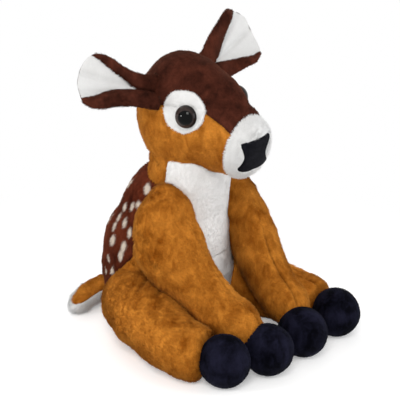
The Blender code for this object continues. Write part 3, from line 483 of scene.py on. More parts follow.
class Graph:
    """A small helper for building the nodes of a material or a world."""

    def __init__(self, owner, shader="Principled BSDF"):
        owner.use_nodes = True
        self.owner = owner
        self.tree = owner.node_tree
        self.shader = self.tree.nodes[shader]

    @functools.cached_property
    def places(self):
        return self.node("ShaderNodeTexCoord").outputs["Object"]

    def node(self, kind, values=None, **settings):
        made = self.tree.nodes.new(kind)
        for key, value in settings.items():
            setattr(made, key, value)
        self.put(made, values or {})
        return made

    def link(self, output, socket):
        self.tree.links.new(output, socket)

    def put(self, node, values):
        """Feeds a node's inputs, each with a socket or a plain value."""
        for key, value in values.items():
            if isinstance(value, bpy.types.NodeSocket):
                self.link(value, node.inputs[key])
            else:
                node.inputs[key].default_value = value

    def noise(self, size, detail=2.0, stretch=None, distortion=0.0):
        source = self.places
        if stretch is not None:
            source = self.node("ShaderNodeMapping", {"Scale": stretch, "Vector": source}).outputs[0]
        return self.node("ShaderNodeTexNoise", {
            "Vector": source, "Scale": 1 / size, "Detail": detail, "Roughness": 0.5,
            "Distortion": distortion}).outputs["Fac"]

    def math(self, operation, first, second=0.0):
        return self.node("ShaderNodeMath", {0: first, 1: second}, operation=operation).outputs[0]

    def spread(self, value, low, high, to_low=0.0, to_high=1.0):
        return self.node("ShaderNodeMapRange", {
            "Value": value, "From Min": low, "From Max": high, "To Min": to_low,
            "To Max": to_high}).outputs["Result"]

    def mix(self, share, first, second, blend="MIX"):
        made = self.node("ShaderNodeMix", data_type="RGBA", blend_type=blend)
        self.put(made, {"Factor": share, "A": first, "B": second})
        return next(o for o in made.outputs if o.type == "RGBA")

    def attribute(self, name):
        return self.node("ShaderNodeAttribute", attribute_name=name).outputs["Fac"]

    def bump(self, height, distance):
        made = self.node("ShaderNodeBump", {"Height": height, "Strength": 0.4, "Distance": distance})
        self.link(made.outputs["Normal"], self.shader.inputs["Normal"])

    def seen_directly(self):
        """1 for camera rays and for what gloss and glass show, 0 for the light that falls on things."""
        rays = self.node("ShaderNodeLightPath").outputs
        seen = rays["Is Camera Ray"]
        for other in ("Is Glossy Ray", "Is Transmission Ray"):
            seen = self.math("MAXIMUM", seen, rays[other])
        return seen


def rgba(colour):
    return (*colour[:3], 1)


def plush_material(name, shades, sheen, sheen_tint, spots, hairs, mottle, softness, depth):
    """Short pile: patches, brush marks, mottles and grain, painted shade at roots and seams, painted
    light at tips.
    """
    g = Graph(bpy.data.materials.new(name))
    patches = g.noise(PLUSH_PATCHES, detail=1.5, distortion=0.8)
    brushed = g.noise(PLUSH_BRUSHED, stretch=(1, 1, 0.45), distortion=0.8)
    mottles = g.noise(PLUSH_MOTTLES)
    grain = g.noise(PLUSH_GRAIN, detail=1)
    in_patch, in_brushed, in_mottles = PLUSH_SHARES
    share = g.math("ADD", g.math("MULTIPLY", patches, in_patch),
                   g.math("MULTIPLY", brushed, in_brushed * mottle))
    share = g.math("ADD", share, g.math("MULTIPLY", mottles, in_mottles * mottle))
    middle = (in_patch + (in_brushed + in_mottles) * mottle) / 2
    share = g.spread(share, middle - softness, middle + softness)
    base = g.mix(share, *map(rgba, shades))
    if spots:
        base = g.mix(g.attribute("spot"), base, SPOT_COLOUR)
    if hairs:
        # each strand: painted shade at its root and painted light at its tip, times a tint at random
        shade = g.math("MULTIPLY", g.spread(g.attribute("tip"), 0, 1, 1 - ROOT_SHADE * depth, TIP_LIGHT),
                       g.spread(g.attribute("tint"), 0, 1, *(1 + np.array(TINT_RANGE) * depth)))
    else:
        shade = g.spread(grain, 0.3, 0.7, *(1 - np.array(CLOTH_SHADE) * depth))
        g.bump(g.math("ADD", g.math("MULTIPLY", mottles, 0.7), grain), 0.4 * MM)
    # painted shade in seams, creases, at the tail's root and over the ear's lining
    shade = g.math("MULTIPLY", shade, g.spread(g.attribute("groove_and_shade"), 0, 1, 1, 1 - SEAM_SHADE * depth))
    grey = g.node("ShaderNodeCombineColor", dict.fromkeys(("Red", "Green", "Blue"), shade)).outputs[0]
    g.put(g.shader, {
        "Base Color": g.mix(1.0, base, grey, blend="MULTIPLY"), "Roughness": 0.88,
        "Specular IOR Level": 0.05, "Sheen Weight": sheen, "Sheen Roughness": 0.45,
        "Sheen Tint": rgba(sheen_tint)})
    return g.owner


# slot: shades, sheen, its tint, whether it has spots, mottling, how softly the shades blend, and how
# deep the painted shade at roots and in seams is
PLUSH_LOOKS = {
    "tan_plush": (TAN, 0.10, (1.0, 0.66, 0.32), False, 1.0, 0.145, 1.0),
    "chocolate_plush": (CHOCOLATE, 0.07, (0.95, 0.50, 0.35), True, 1.0, 0.17, 1.0),
    "dark_brown_plush": (DARK_BROWN, 0.07, (0.95, 0.52, 0.36), False, 1.0, 0.19, 1.0),
    "white_plush": (WHITE, 0.06, (1, 1, 1), False, 0.6, 0.19, 0.35),
    "hoof_velour": (HOOF_BLACK_AND_PAINTED_SHEEN, 0.014, (0.55, 0.60, 0.85), False, 0.7, 0.10, 0.8),
}
MATERIALS = {}
for slot, (shades, sheen, sheen_tint, spots, *blend) in PLUSH_LOOKS.items():
    for ending in ("", "_pile"):
        MATERIALS[slot + ending] = plush_material(
            slot + ending, shades, sheen, sheen_tint, spots, ending == "_pile", *blend)


def plain_material(name, shades, size, roughness, gloss, bump_size, bump_depth):
    g = Graph(bpy.data.materials.new(name))
    g.put(g.shader, {
        "Base Color": g.mix(g.spread(g.noise(size, detail=3), 0.35, 0.65), *map(rgba, shades)),
        "Roughness": g.spread(g.noise(size / 3), 0.3, 0.7, roughness - 0.08, roughness + 0.08),
        "Specular IOR Level": gloss})
    g.bump(g.noise(bump_size), bump_depth)
    return g.owner


# slot: shades, size of its marks, roughness, gloss, size and depth of its bumps
PLAIN_LOOKS = {
    "nose_cloth": (NOSE_BLACK, 4 * MM, 0.6, 0.04, 0.5 * MM, 0.15 * MM),
    "fibre_stuffing": (FIBRE, 3 * MM, 0.9, 0.2, 1.2 * MM, 0.5 * MM),
    "washer_plastic": (WASHER, 4 * MM, 0.42, 0.5, 0.6 * MM, 0.05 * MM)}
for slot, look in PLAIN_LOOKS.items():
    MATERIALS[slot] = plain_material(slot, *look)


# Objects

def link(name, data):
    item = bpy.data.objects.new(name, data)
    bpy.context.scene.collection.objects.link(item)
    return item


def smooth_mesh(name, points, faces):
    mesh = bpy.data.meshes.new(name)
    mesh.from_pydata(points.tolist(), [], faces)
    mesh.shade_smooth()
    mesh.update()
    return mesh


def write_values(mesh, name, values):
    """Stores one number a vertex."""
    mesh.attributes.new(name, "FLOAT", "POINT").data.foreach_set("value", np.asarray(values, np.float32))


def thicken(item, thickness):
    cloth = item.modifiers.new("cloth", "SOLIDIFY")
    cloth.thickness = thickness
    cloth.offset = -1


def close_normals(bm):
    bm.normal_update()
    bmesh.ops.recalc_face_normals(bm, faces=bm.faces)


def finish_piece(item, body, slot, replaced=(), fill=None):
    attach(item, body)
    if replaced:
        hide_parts(*replaced)


# Stuffing

def swell(skin):
    """How far each point of a skin rises when stuffing presses on its cloth between the sewn seams."""
    rise = np.zeros(len(skin.points))
    scene = bpy.context.scene
    trial = link("trial", smooth_mesh("trial", skin.points, skin.faces))
    voxels = trial.modifiers.new("voxels", "REMESH")
    voxels.mode = "VOXEL"
    voxels.voxel_size = SIM_VOXEL
    scene.frame_set(1)
    made = trial.evaluated_get(bpy.context.evaluated_depsgraph_get())
    coarse = bpy.data.meshes.new_from_object(made)
    trial.modifiers.clear()
    trial.data = coarse
    count = len(coarse.vertices)
    places, normals, ends = np.empty(count * 3), np.empty(count * 3), np.empty(count * 3)
    coarse.vertices.foreach_get("co", places)
    coarse.vertices.foreach_get("normal", normals)
    places, normals = places.reshape(-1, 3), normals.reshape(-1, 3)
    seams = tree_of(skin.points[skin.border])
    held = 1 - ramp(np.array([seams.find(place)[2] for place in places]), *SIM_PIN)
    held[places[:, 2] < SIM_FLOOR] = 1
    group = trial.vertex_groups.new(name="sewn")
    for number, weight in enumerate(held):
        if weight > 0:
            group.add([number], float(weight), "REPLACE")
    cloth = trial.modifiers.new("cloth", "CLOTH")
    settings = cloth.settings
    settings.quality = 5
    settings.use_pressure = True
    settings.uniform_pressure_force = SIM_PRESSURE
    settings.shrink_min = -SIM_SLACK
    settings.vertex_group_mass = group.name
    settings.effector_weights.gravity = 0
    cloth.collision_settings.use_collision = False
    for frame_number in range(1, SIM_FRAMES + 1):
        scene.frame_set(frame_number)
    made = trial.evaluated_get(bpy.context.evaluated_depsgraph_get())
    made.data.vertices.foreach_get("co", ends)
    moved = ((ends.reshape(-1, 3) - places) * normals).sum(1)
    moved -= np.median(moved[held < 0.5]) * SIM_KEPT_SIZE
    moved = SIM_CAP * np.tanh(np.nan_to_num(moved) / SIM_CAP)
    scene.frame_set(1)
    bpy.data.objects.remove(trial)
    tree = tree_of(places)
    for number, point in enumerate(skin.points):
        found = tree.find_n(point, 5)
        shares = [1 / (distance + MM) ** 2 for _, _, distance in found]
        near = [moved[index] for _, index, _ in found]
        rise[number] = np.dot(near, shares) / sum(shares)
    return rise


# Skins

class Skin:
    """A dense closed surface, cut along its seams, that panels and pile are made from."""

    def __init__(self, bm, planes, regions, matrix=None):
        """planes are (point, normal) cuts; regions are (name, planes whose positive side it takes)."""
        for point, normal in planes:
            bmesh.ops.bisect_plane(
                bm, geom=bm.verts[:] + bm.edges[:] + bm.faces[:], dist=0.05 * MM,
                plane_co=Vector(point), plane_no=Vector(normal))
        bm.normal_update()
        bm.verts.index_update()
        self.points = np.array([v.co for v in bm.verts], float)
        self.normals = np.array([v.normal for v in bm.verts], float)
        self.faces = [[v.index for v in face.verts] for face in bm.faces]
        middles = np.array([face.calc_center_median() for face in bm.faces], float)
        self.region = np.full(len(self.faces), -1)
        self.names = list(dict.fromkeys(name for name, _ in regions))
        for name, sides in regions:
            inside = np.ones(len(middles), bool)
            for point, normal in sides:
                inside &= (middles - np.array(point)) @ np.array(normal, float) > 0
            self.region[inside & (self.region < 0)] = self.names.index(name)
        border = set()
        for edge in bm.edges:
            found = {self.region[face.index] for face in edge.link_faces}
            if len(found) > 1:
                border.update(v.index for v in edge.verts)
        bm.free()
        self.border = np.array(sorted(border), int)
        seams = tree_of(self.points[self.border])
        self.to_border = np.array([seams.find(point)[2] for point in self.points])
        if matrix is not None:
            self.points = matrix_apply(matrix, self.points)
            self.normals = self.normals @ np.array(matrix, float)[:3, :3].T
        self.rest = self.points.copy()
        self.rise = np.zeros(len(self.points))
        # painted shade of seams and creases, which also shortens the pile there
        self.groove_and_shade = np.zeros(len(self.points))

    def seam(self, depth, width, share=1.0):
        """Draws the cloth in along its seams, with painted shade in them and a slight swell beside them.
        share is how strongly.
        """
        def bell(middle, spread):
            return share * np.exp(-((self.to_border - middle * width) / (spread * width)) ** 2)

        self.rise -= depth * bell(0, 1)
        # painted shade along the seam
        self.groove_and_shade += 0.6 * bell(0, 0.9)
        self.rise += 0.35 * depth * bell(3.4, 1.6)

    def lumps(self, seed, size, height):
        small = Noise(seed + 50, size * 0.55)(self.rest)
        self.rise += height * (Noise(seed, size)(self.rest) + 0.5 * small)

    def folds(self, rows, sign):
        """Creases along straight lines, with painted shade in them and a soft ridge on each side. sign
        is the deer's side.
        """
        for x1, y1, z1, x2, y2, z2, depth, width in np.array(rows) * MM:
            start, end = on_side((x1, y1, z1), sign), on_side((x2, y2, z2), sign)
            way = end - start
            share = np.clip((self.rest - start) @ way / (way @ way), 0, 1)
            away = np.linalg.norm(self.rest - start - share[:, None] * way, axis=1)
            fade = np.clip(4 * share * (1 - share), 0, 1) ** 0.5
            groove_and_shade = np.exp(-(away / width) ** 2)
            ridge = np.exp(-((away - 2.1 * width) / (1.1 * width)) ** 2)
            self.rise += depth * fade * (0.5 * ridge - groove_and_shade)
            # painted shade in the crease
            self.groove_and_shade += min(0.45 * depth / MM, 0.9) * fade * groove_and_shade

    def settle(self, floor=True):
        self.points = self.points + self.normals * self.rise[:, None]
        if floor:
            self.points[:, 2] = np.maximum(self.points[:, 2], 0)

    def triangles(self, region):
        return np.array([(face[0], face[k], face[k + 1])
                         for number, face in enumerate(self.faces) if self.region[number] == region
                         for k in range(1, len(face) - 1)], int)

    def panel(self, name, region):
        """The faces of one region as an object: cloth with a real thickness, open nowhere."""
        faces = [face for number, face in enumerate(self.faces) if self.region[number] == region]
        used = np.unique([index for face in faces for index in face])
        new_index = {old: new for new, old in enumerate(used)}
        mesh = smooth_mesh(name, self.points[used],
                           [[new_index[index] for index in face] for face in faces])
        # the cloth keeps the painted shade of its seams and creases
        write_values(mesh, "groove_and_shade", np.clip(self.groove_and_shade[used], 0, 1))
        item = link(name, mesh)
        thicken(item, CLOTH)
        return item


# Pile

def closed_strands(name, roots, ways, normals, lengths, widths, values):
    """Thin closed spikes, one a root, leaning the given ways. values: attributes, one number a root."""
    count = len(roots)
    rng = np.random.default_rng(count)
    turn = rng.uniform(0, 2 * np.pi, count)
    first = unit(np.cross(ways, normals) + 1e-9)
    second = np.cross(ways, first)
    points = np.empty((count, 4, 3))
    shading = np.empty((count, 4, 3))
    for corner in range(3):
        angle = turn + corner * 2 * np.pi / 3
        out = first * np.cos(angle)[:, None] + second * np.sin(angle)[:, None]
        points[:, corner] = roots + out * widths[:, None] - normals * STRAND_SINK
        shading[:, corner] = unit(normals + 0.45 * out)
    points[:, 3] = roots + ways * lengths[:, None]
    shading[:, 3] = unit(normals + 0.35 * ways)
    points[:, :, 2] = np.maximum(points[:, :, 2], 0.02 * MM)
    corners = np.array([(0, 1, 3), (1, 2, 3), (2, 0, 3), (0, 2, 1)])
    faces = (corners[None] + 4 * np.arange(count)[:, None, None]).reshape(-1, 3)
    mesh = bpy.data.meshes.new(name)
    mesh.vertices.add(count * 4)
    mesh.vertices.foreach_set("co", points.ravel())
    mesh.loops.add(len(faces) * 3)
    mesh.loops.foreach_set("vertex_index", faces.ravel())
    mesh.polygons.add(len(faces))
    mesh.polygons.foreach_set("loop_start", np.arange(0, len(faces) * 3, 3))
    mesh.update(calc_edges=True)
    mesh.shade_smooth()
    values = {key: np.repeat(numbers, 4) for key, numbers in values.items()}
    values["tip"] = np.tile((0.0, 0.0, 0.0, 1.0), count)
    for key, numbers in values.items():
        write_values(mesh, key, numbers)
    side = math.ceil(math.sqrt(count))
    cell = np.stack((np.arange(count) % side, np.arange(count) // side), 1) / side
    shape = np.array([((low, 0.2), (high, 0.2), (0.5, 0.95))
                      for low, high in ((0.05, 0.33), (0.33, 0.66), (0.66, 0.95))]
                     + [((0.05, 0.05), (0.5, 0.15), (0.95, 0.05))])
    places = cell[:, None, None, :] + shape[None] / side
    mesh.uv_layers.new(name="OFBake").data.foreach_set("uv", places.ravel())
    mesh.normals_split_custom_set_from_vertices(shading.reshape(-1, 3))
    return mesh


class Nap:
    """Which way the pile lies, how long it is and how it is ruffled."""

    def __init__(self, way, length=2.6, width=0.30, lean=54, ruffle=0.45, density=1.2):
        self.way = way
        self.length = length * MM
        self.width = width * MM
        self.lean = math.radians(lean)
        self.ruffle = ruffle
        self.density = density


RUFFLE_BIG = [Noise(seed, 14 * MM) for seed in (11, 12, 13)]
RUFFLE_SMALL = [Noise(seed, 3.4 * MM) for seed in (14, 15, 16)]
LEAN_NOISE = Noise(17, 6 * MM)
CLUMP_NOISE = Noise(18, 2.2 * MM)


def grow(name, skin, region, nap, material, seed, spots=None, skip=None):
    """An object of pile over one region of a skin."""
    rng = np.random.default_rng(seed)
    triangles = skin.triangles(region)
    a, b, c = (skin.points[triangles[:, k]] for k in range(3))
    areas = np.linalg.norm(np.cross(b - a, c - a), axis=1) / 2
    count = int(areas.sum() / MM ** 2 * nap.density * PILE_SHARE)
    chosen = rng.choice(len(triangles), count, p=areas / areas.sum())
    u, v = rng.uniform(size=(2, count))
    over = u + v > 1
    u[over], v[over] = 1 - u[over], 1 - v[over]
    weights = np.stack((1 - u - v, u, v), 1)
    corners = triangles[chosen]
    roots = (skin.points[corners] * weights[:, :, None]).sum(1)
    normals = unit((skin.normals[corners] * weights[:, :, None]).sum(1))
    # painted shade of seams and creases, which also makes the pile shorter there
    grooves_and_shade = np.clip((skin.groove_and_shade[corners] * weights).sum(1), 0, 1)
    keep = roots[:, 2] > LOWEST_ROOT
    if skip is not None:
        keep &= ~skip(roots)
    roots, normals, grooves_and_shade = roots[keep], normals[keep], grooves_and_shade[keep]
    count = len(roots)
    big, small = (np.stack([noise(roots) for noise in ruffle], 1)
                  for ruffle in (RUFFLE_BIG, RUFFLE_SMALL))
    swirl = big + SMALL_RUFFLE_SHARE * small
    way = unit(nap.way(roots)) + nap.ruffle * swirl + rng.normal(0, WAY_JITTER, (count, 3))
    way = unit(way - normals * (way * normals).sum(1, keepdims=True))
    lean = nap.lean + LEAN_WAVES * LEAN_NOISE(roots) + rng.normal(0, LEAN_JITTER, count)
    direction = normals * np.cos(lean)[:, None] + way * np.sin(lean)[:, None]
    clumps = CLUMP_NOISE(roots)
    lengths = nap.length * (1 + LENGTH_WAVES * clumps + rng.normal(0, LENGTH_JITTER, count))
    widths = nap.width * rng.uniform(*STRAND_SIZES, count)
    tints = np.clip(0.5 + TINT_WAVES * clumps + rng.normal(0, TINT_JITTER, count), 0, 1)
    lengths *= 1 - SEAM_SHORTENING * grooves_and_shade
    values = {"tint": tints, "groove_and_shade": grooves_and_shade}
    if spots is not None:
        values["spot"] = spots(roots)
    mesh = closed_strands(name, roots, direction, normals, lengths, widths, values)
    mesh.materials.append(material)
    return link(name, mesh)


def toward(way):
    way = np.array(way, float)
    return lambda points: np.tile(way, (len(points), 1))


def away_from(centre):
    centre = np.array(centre, float)
    return lambda points: points - centre


def dress(skin, body, looks, naps, fill, seed, spots=None, skip=None):
    """Panels and pile of a skin. looks: region name, slot, piece name, replaced CAD nodes."""
    for number, (region, slot, piece, replaced) in enumerate(looks):
        index = skin.names.index(region)
        item = skin.panel(piece, index)
        item.data.materials.append(MATERIALS[slot])
        if spots is not None and slot == "chocolate_plush":
            write_values(item.data, "spot", spots(np.array([v.co for v in item.data.vertices], float)))
        finish_piece(item, body, slot, replaced, fill)
        nap = naps.get(region, naps["all"])
        pile = grow(f"{body}_{region}_pile", skin, index, nap, MATERIALS[slot + "_pile"],
                    seed + number, spots if slot == "chocolate_plush" else None, skip)
        finish_piece(pile, body, slot)


def filling(name, skin, body, replaced):
    """The stuffing inside a skin, a little smaller than it."""
    inner = skin.points - skin.normals * (CLOTH + FILLING_GAP)
    item = link(name, smooth_mesh(name, inner, skin.faces))
    item.data.materials.append(MATERIALS["fibre_stuffing"])
    fewer = item.modifiers.new("coarser", "DECIMATE")
    fewer.ratio = FILLING_DETAIL
    finish_piece(item, body, "fibre_stuffing", replaced, TEXTILE_FILL["stuffing"])


def flip(seam):
    return (seam[0], -np.array(seam[1], float))


# Body

def spot_share(points):
    """1 inside a pale spot of the back and 0 outside it."""
    share = np.zeros(len(points))
    for mirror in (1, -1):
        for x, y, z, half_width, half_height in np.array(SPOTS) * (1, 1, 1, SPOT_SCALE, SPOT_SCALE):
            centre = np.array((x * mirror, y, z)) * MM
            outward = unit(centre * (1, 1, 0))
            side = np.cross(UP, outward)
            offset = points - centre
            flat = np.hypot(offset @ side / half_width, (offset @ UP) / half_height) / MM
            near = np.abs(offset @ outward) < SPOT_REACH
            edge = SPOT_EDGE / (half_width * MM)
            share = np.maximum(share, near * np.clip((1 + edge / 2 - flat) / edge, 0, 1))
    return share


def make_body():
    rows = [(0, -NECK_FORWARD * forward, BODY_HEIGHT * height - SEAT_CUT, BODY_RADIUS * width,
             BODY_RADIUS * width) for height, forward, width in BODY_SHARES]
    rows.append((0, -NECK_FORWARD, NECK_BASE_Z, NECK_RADIUS, NECK_RADIUS))
    for height in ((NECK_BASE_Z + BODY_HEIGHT) / 2, BODY_HEIGHT):
        rows.append((0, -NECK_FORWARD, height, NECK_TOP_RADIUS, NECK_TOP_RADIUS))
    loft = Loft(rows, ACROSS, SEAT_DOME, NECK_DOME, start_bluntness=SEAT_BLUNTNESS)
    neck = ((0, 0, NECK_SEAM_Z), (0, -NECK_SEAM_RISE, 1))
    side = ((0, SIDE_SEAM_Y, 0), BACKWARD)
    back = ((0, BACK_SEAM_Y, 0), (0, 1, BACK_SEAM_LEAN))
    edge = ((0, BACK_EDGE_Y, 0), BACKWARD)
    high_edge = ((0, BACK_EDGE_Y, BACK_EDGE_TURN_Z), (0, 1, BACK_EDGE_LEAN))
    belly = ((0, 0, BELLY_SEAM_Z), UP)
    seat = ((0, 0, SEAT_SEAM_Z), UP)
    regions = [
        ("neck", [neck, side]), ("back", [flip(neck), back, edge, seat, side]),
        ("back", [flip(neck), back, high_edge, seat, side]), ("seat", [flip(seat)]),
        ("bib", [flip(side), belly]), ("belly", [flip(side), flip(belly), seat]),
        ("flank_right", [((0, 0, 0), -ACROSS)]), ("flank_left", [((0, 0, 0), ACROSS)])]
    bm = loft.bmesh(*BODY_MESH)
    # the spine bends forward here, which crowds the rings on the chest
    low, high = CHEST_SMOOTH_Z
    crowded = [v for v in bm.verts if v.co.y < CHEST_SMOOTH_Y and low < v.co.z < high]
    for _ in range(CHEST_SMOOTHING):
        bmesh.ops.smooth_vert(
            bm, verts=crowded, factor=0.5, use_axis_x=True, use_axis_y=True, use_axis_z=True)
    skin = Skin(bm, [neck, side, back, edge, high_edge, belly, seat], regions)
    skin.rise += swell(skin)
    skin.seam(depth=1.3 * MM, width=1.5 * MM)
    skin.lumps(1, size=34 * MM, height=0.9 * MM)
    skin.lumps(2, size=9 * MM, height=0.25 * MM)
    chest = ramp(skin.rest[:, 1], *CHEST_CALM)
    skin.rise *= 1 - CHEST_CALM_RISE * chest
    skin.groove_and_shade *= 1 - CHEST_CALM_SEAM * chest
    for sign in (-1, 1):
        skin.folds(BODY_FOLDS, sign)
    skin.settle()
    looks = [
        ("neck", "tan_plush", "neck_cloth", ["neck_panel"]),
        ("back", "chocolate_plush", "back_cloth", ["back_panel"]),
        ("seat", "tan_plush", "seat_cloth", ["seat_panel"]),
        ("bib", "white_plush", "chest_bib_cloth", ["chest_bib"]),
        ("belly", "white_plush", "belly_cloth", ["belly_panel"]),
        ("flank_right", "tan_plush", "flank_cloth_right", ["flank_panel_right"]),
        ("flank_left", "tan_plush", "flank_cloth_left", ["flank_panel_left"])]
    down = toward((0, 0.15, -1))
    naps = {
        "all": Nap(down),
        "bib": Nap(down, length=1.7, lean=60, ruffle=0.25, density=1.1),
        "belly": Nap(down, length=1.7, lean=60, ruffle=0.25, density=0.9),
        "back": Nap(down, length=2.6, ruffle=0.45, density=1.2),
        "seat": Nap(toward((0, 1, 0.2)), length=1.6, density=0.4)}
    dress(skin, "body", looks, naps, TEXTILE_FILL["body"], 100, spot_share,
          skip=lambda points: points[:, 2] > HIDDEN_NECK_Z)
    filling("body_filling", skin, "body", ["body_stuffing"])


# Head

def head_tilt():
    centre = Vector((0, -NECK_FORWARD, HEAD_Z))
    turn = Matrix.Rotation(math.radians(HEAD_TILT), 4, Vector(BACKWARD))
    aside = Matrix.Translation((HEAD_X, 0, 0))
    return aside @ Matrix.Translation(centre) @ turn.inverted() @ Matrix.Translation(-centre)


def basis(place, normal):
    z_axis = Vector(normal).normalized()
    x_axis = Vector(UP).cross(z_axis).normalized()
    y_axis = z_axis.cross(x_axis)
    matrix = Matrix((x_axis, y_axis, z_axis)).transposed().to_4x4()
    matrix.translation = place
    return matrix


def last_hit(tree, origin, direction):
    """Where a line from inside a closed surface leaves it, and the way out there."""
    direction = Vector(direction).normalized()
    place, normal, _, _ = tree.ray_cast(Vector(origin) + direction, -direction)
    return place, normal


def laid_cloth(outline, tree, matrix, rings, thickness, edge):
    """A closed patch laid on a surface, round over the width edge at its rim. outline is (m, 2)."""
    bm = bmesh.new()
    count = len(outline)
    shares = np.sin(np.linspace(0, np.pi / 2, rings + 1))[1:]
    tops, bottoms = [], []

    def put(x, y, lift):
        place = matrix @ Vector((x, y, 0))
        found, normal, _, _ = tree.find_nearest(place)
        return bm.verts.new(found + normal * lift)

    centre = [put(0, 0, thickness), put(0, 0, -PATCH_SINK)]
    reach = np.linalg.norm(outline, axis=1).mean()
    for share in shares:
        from_edge = reach * (1 - share)
        round_off = math.sqrt(max(1 - max(1 - from_edge / edge, 0) ** 2, 0))
        tops.append([put(x * share, y * share, thickness * round_off) for x, y in outline])
    for share in shares[:-1]:
        bottoms.append([put(x * share, y * share, -PATCH_SINK) for x, y in outline])
    bottoms.append(tops[-1])
    for middle, loops in zip(centre, (tops, bottoms)):
        for spot in range(count):
            after = (spot + 1) % count
            bm.faces.new((middle, loops[0][spot], loops[0][after]))
            for low, high in zip(loops, loops[1:]):
                bm.faces.new((low[spot], high[spot], high[after], low[after]))
    close_normals(bm)
    return bm


class Shell:
    """A finished closed mesh in the form that grow() takes."""

    def __init__(self, bm, facing=None):
        """Faces that don't look the way facing, if that is given, are region 1."""
        bm.normal_update()
        bm.verts.index_update()
        self.points = np.array([v.co for v in bm.verts], float)
        self.normals = np.array([v.normal for v in bm.verts], float)
        self.faces = [[v.index for v in face.verts] for face in bm.faces]
        self.region = np.zeros(len(self.faces), int)
        self.groove_and_shade = np.zeros(len(self.points))
        if facing is not None:
            normals = np.array([face.normal for face in bm.faces], float)
            self.region[normals @ facing <= PATCH_TOP_SHARE] = 1

    triangles = Skin.triangles


def mesh_of(name, bm, material):
    mesh = bpy.data.meshes.new(name)
    bm.to_mesh(mesh)
    mesh.shade_smooth()
    mesh.materials.append(material)
    return link(name, mesh)


def eye_material():
    """Glossy brown plastic with a black pupil. The eye's own Z points out of the head."""
    g = Graph(bpy.data.materials.new("eye_plastic"))
    parts = g.node("ShaderNodeSeparateXYZ", {0: g.places}).outputs
    along = g.math("MULTIPLY", parts[1], parts[1])

    def from_middle(shift):
        """Share of the eye's radius away from a point moved this far towards the nose."""
        across = g.math("SUBTRACT", parts[0], shift)
        total = g.math("ADD", g.math("MULTIPLY", across, across), along)
        return g.math("DIVIDE", g.math("SQRT", total), EYE_RADIUS)

    iris = g.mix(g.spread(g.noise(0.9 * MM, detail=3), 0.3, 0.7), *map(rgba, IRIS))
    iris = g.mix(g.spread(from_middle(0), *EYE_RIM), iris, rgba(EYE_RIM_COLOUR))
    g.put(g.shader, {
        "Base Color": g.mix(g.spread(from_middle(PUPIL_SHIFT), *PUPIL_EDGE), rgba(PUPIL), iris),
        "Roughness": 0.06, "Specular IOR Level": 0.13})
    return g.owner


MATERIALS["eye_plastic"] = eye_material()


def make_eye(side, sign, tree, surface, tilt):
    """An eye on its white patch. Returns the patch's surface, for the pile round it."""
    skull = Vector((0, -NECK_FORWARD, HEAD_Z))
    place, normal = last_hit(tree, skull, Vector(on_side(EYE_PLACE, sign)) - skull)
    face = tilt @ basis(place, normal)
    patch_centre = place + Vector((0, PATCH_BACK, PATCH_UP))
    ring_place, ring_normal = last_hit(tree, skull, patch_centre - skull)
    turns = 2 * np.pi * np.arange(PATCH_SIDES) / PATCH_SIDES
    wobble = 1 + 0.02 * np.sin(3 * turns + 1) + 0.012 * np.sin(7 * turns)
    outline = wobble[:, None] * np.stack((np.cos(turns), np.sin(turns)), 1) * PATCH_HALF_SIZE
    bm = laid_cloth(outline, surface, tilt @ basis(ring_place, ring_normal), *PATCH_CLOTH)
    centre = np.array((tilt @ ring_place)[:])
    patch = mesh_of("eye_patch_cloth_" + side, bm, MATERIALS["white_plush"])
    shell = Shell(bm, np.array((tilt.to_3x3() @ ring_normal)[:]))
    cover = BVHTree.FromBMesh(bm)
    bm.free()
    finish_piece(patch, "head", "white_plush", ["eye_patch_" + side])
    eye_centre = np.array(face.translation)
    nap = Nap(away_from(centre), length=1.7, width=0.26, lean=52, ruffle=0.2, density=1.3)
    pile = grow("eye_patch_pile_" + side, shell, 0, nap, MATERIALS["white_plush_pile"], 300 + sign,
                skip=lambda points: np.linalg.norm(points - eye_centre, axis=1) < EYE_RADIUS)
    finish_piece(pile, "head", "white_plush")

    bm = bmesh.new()
    rings, segments = EYE_MESH
    profile = [(EYE_RADIUS * math.sin(math.pi / 2 * k / rings),
                EYE_LIFT + EYE_HEIGHT * math.cos(math.pi / 2 * k / rings)) for k in range(1, rings + 1)]
    profile += [(EYE_RADIUS * 0.985, EYE_LIFT - 0.5 * MM), (EYE_RADIUS * 0.93, EYE_LIFT - 0.8 * MM),
                (SHANK_RADIUS, EYE_LIFT - 0.8 * MM), (SHANK_RADIUS, EYE_LIFT - SHANK_LENGTH)]
    loops = []
    for radius, height in profile:
        loops.append([bm.verts.new((radius * math.cos(2 * math.pi * s / segments),
                                    radius * math.sin(2 * math.pi * s / segments), height))
                      for s in range(segments)])
    for low, high in zip(loops, loops[1:]):
        for s in range(segments):
            bm.faces.new((low[s], high[s], high[(s + 1) % segments], low[(s + 1) % segments]))
    top = bm.verts.new((0, 0, EYE_LIFT + EYE_HEIGHT))
    end = bm.verts.new((0, 0, EYE_LIFT - SHANK_LENGTH))
    for s in range(segments):
        bm.faces.new((top, loops[0][s], loops[0][(s + 1) % segments]))
        bm.faces.new((end, loops[-1][(s + 1) % segments], loops[-1][s]))
    close_normals(bm)
    eye = mesh_of("eye_dome_" + side, bm, MATERIALS["eye_plastic"])
    bm.free()
    # the pupil's shift is along the eye's own X, which points forward on the right eye only
    eye.matrix_world = face @ Matrix.Rotation(math.pi if sign > 0 else 0, 4, "Z")
    finish_piece(eye, "head", "eye_plastic", ["eye_" + side])
    return cover


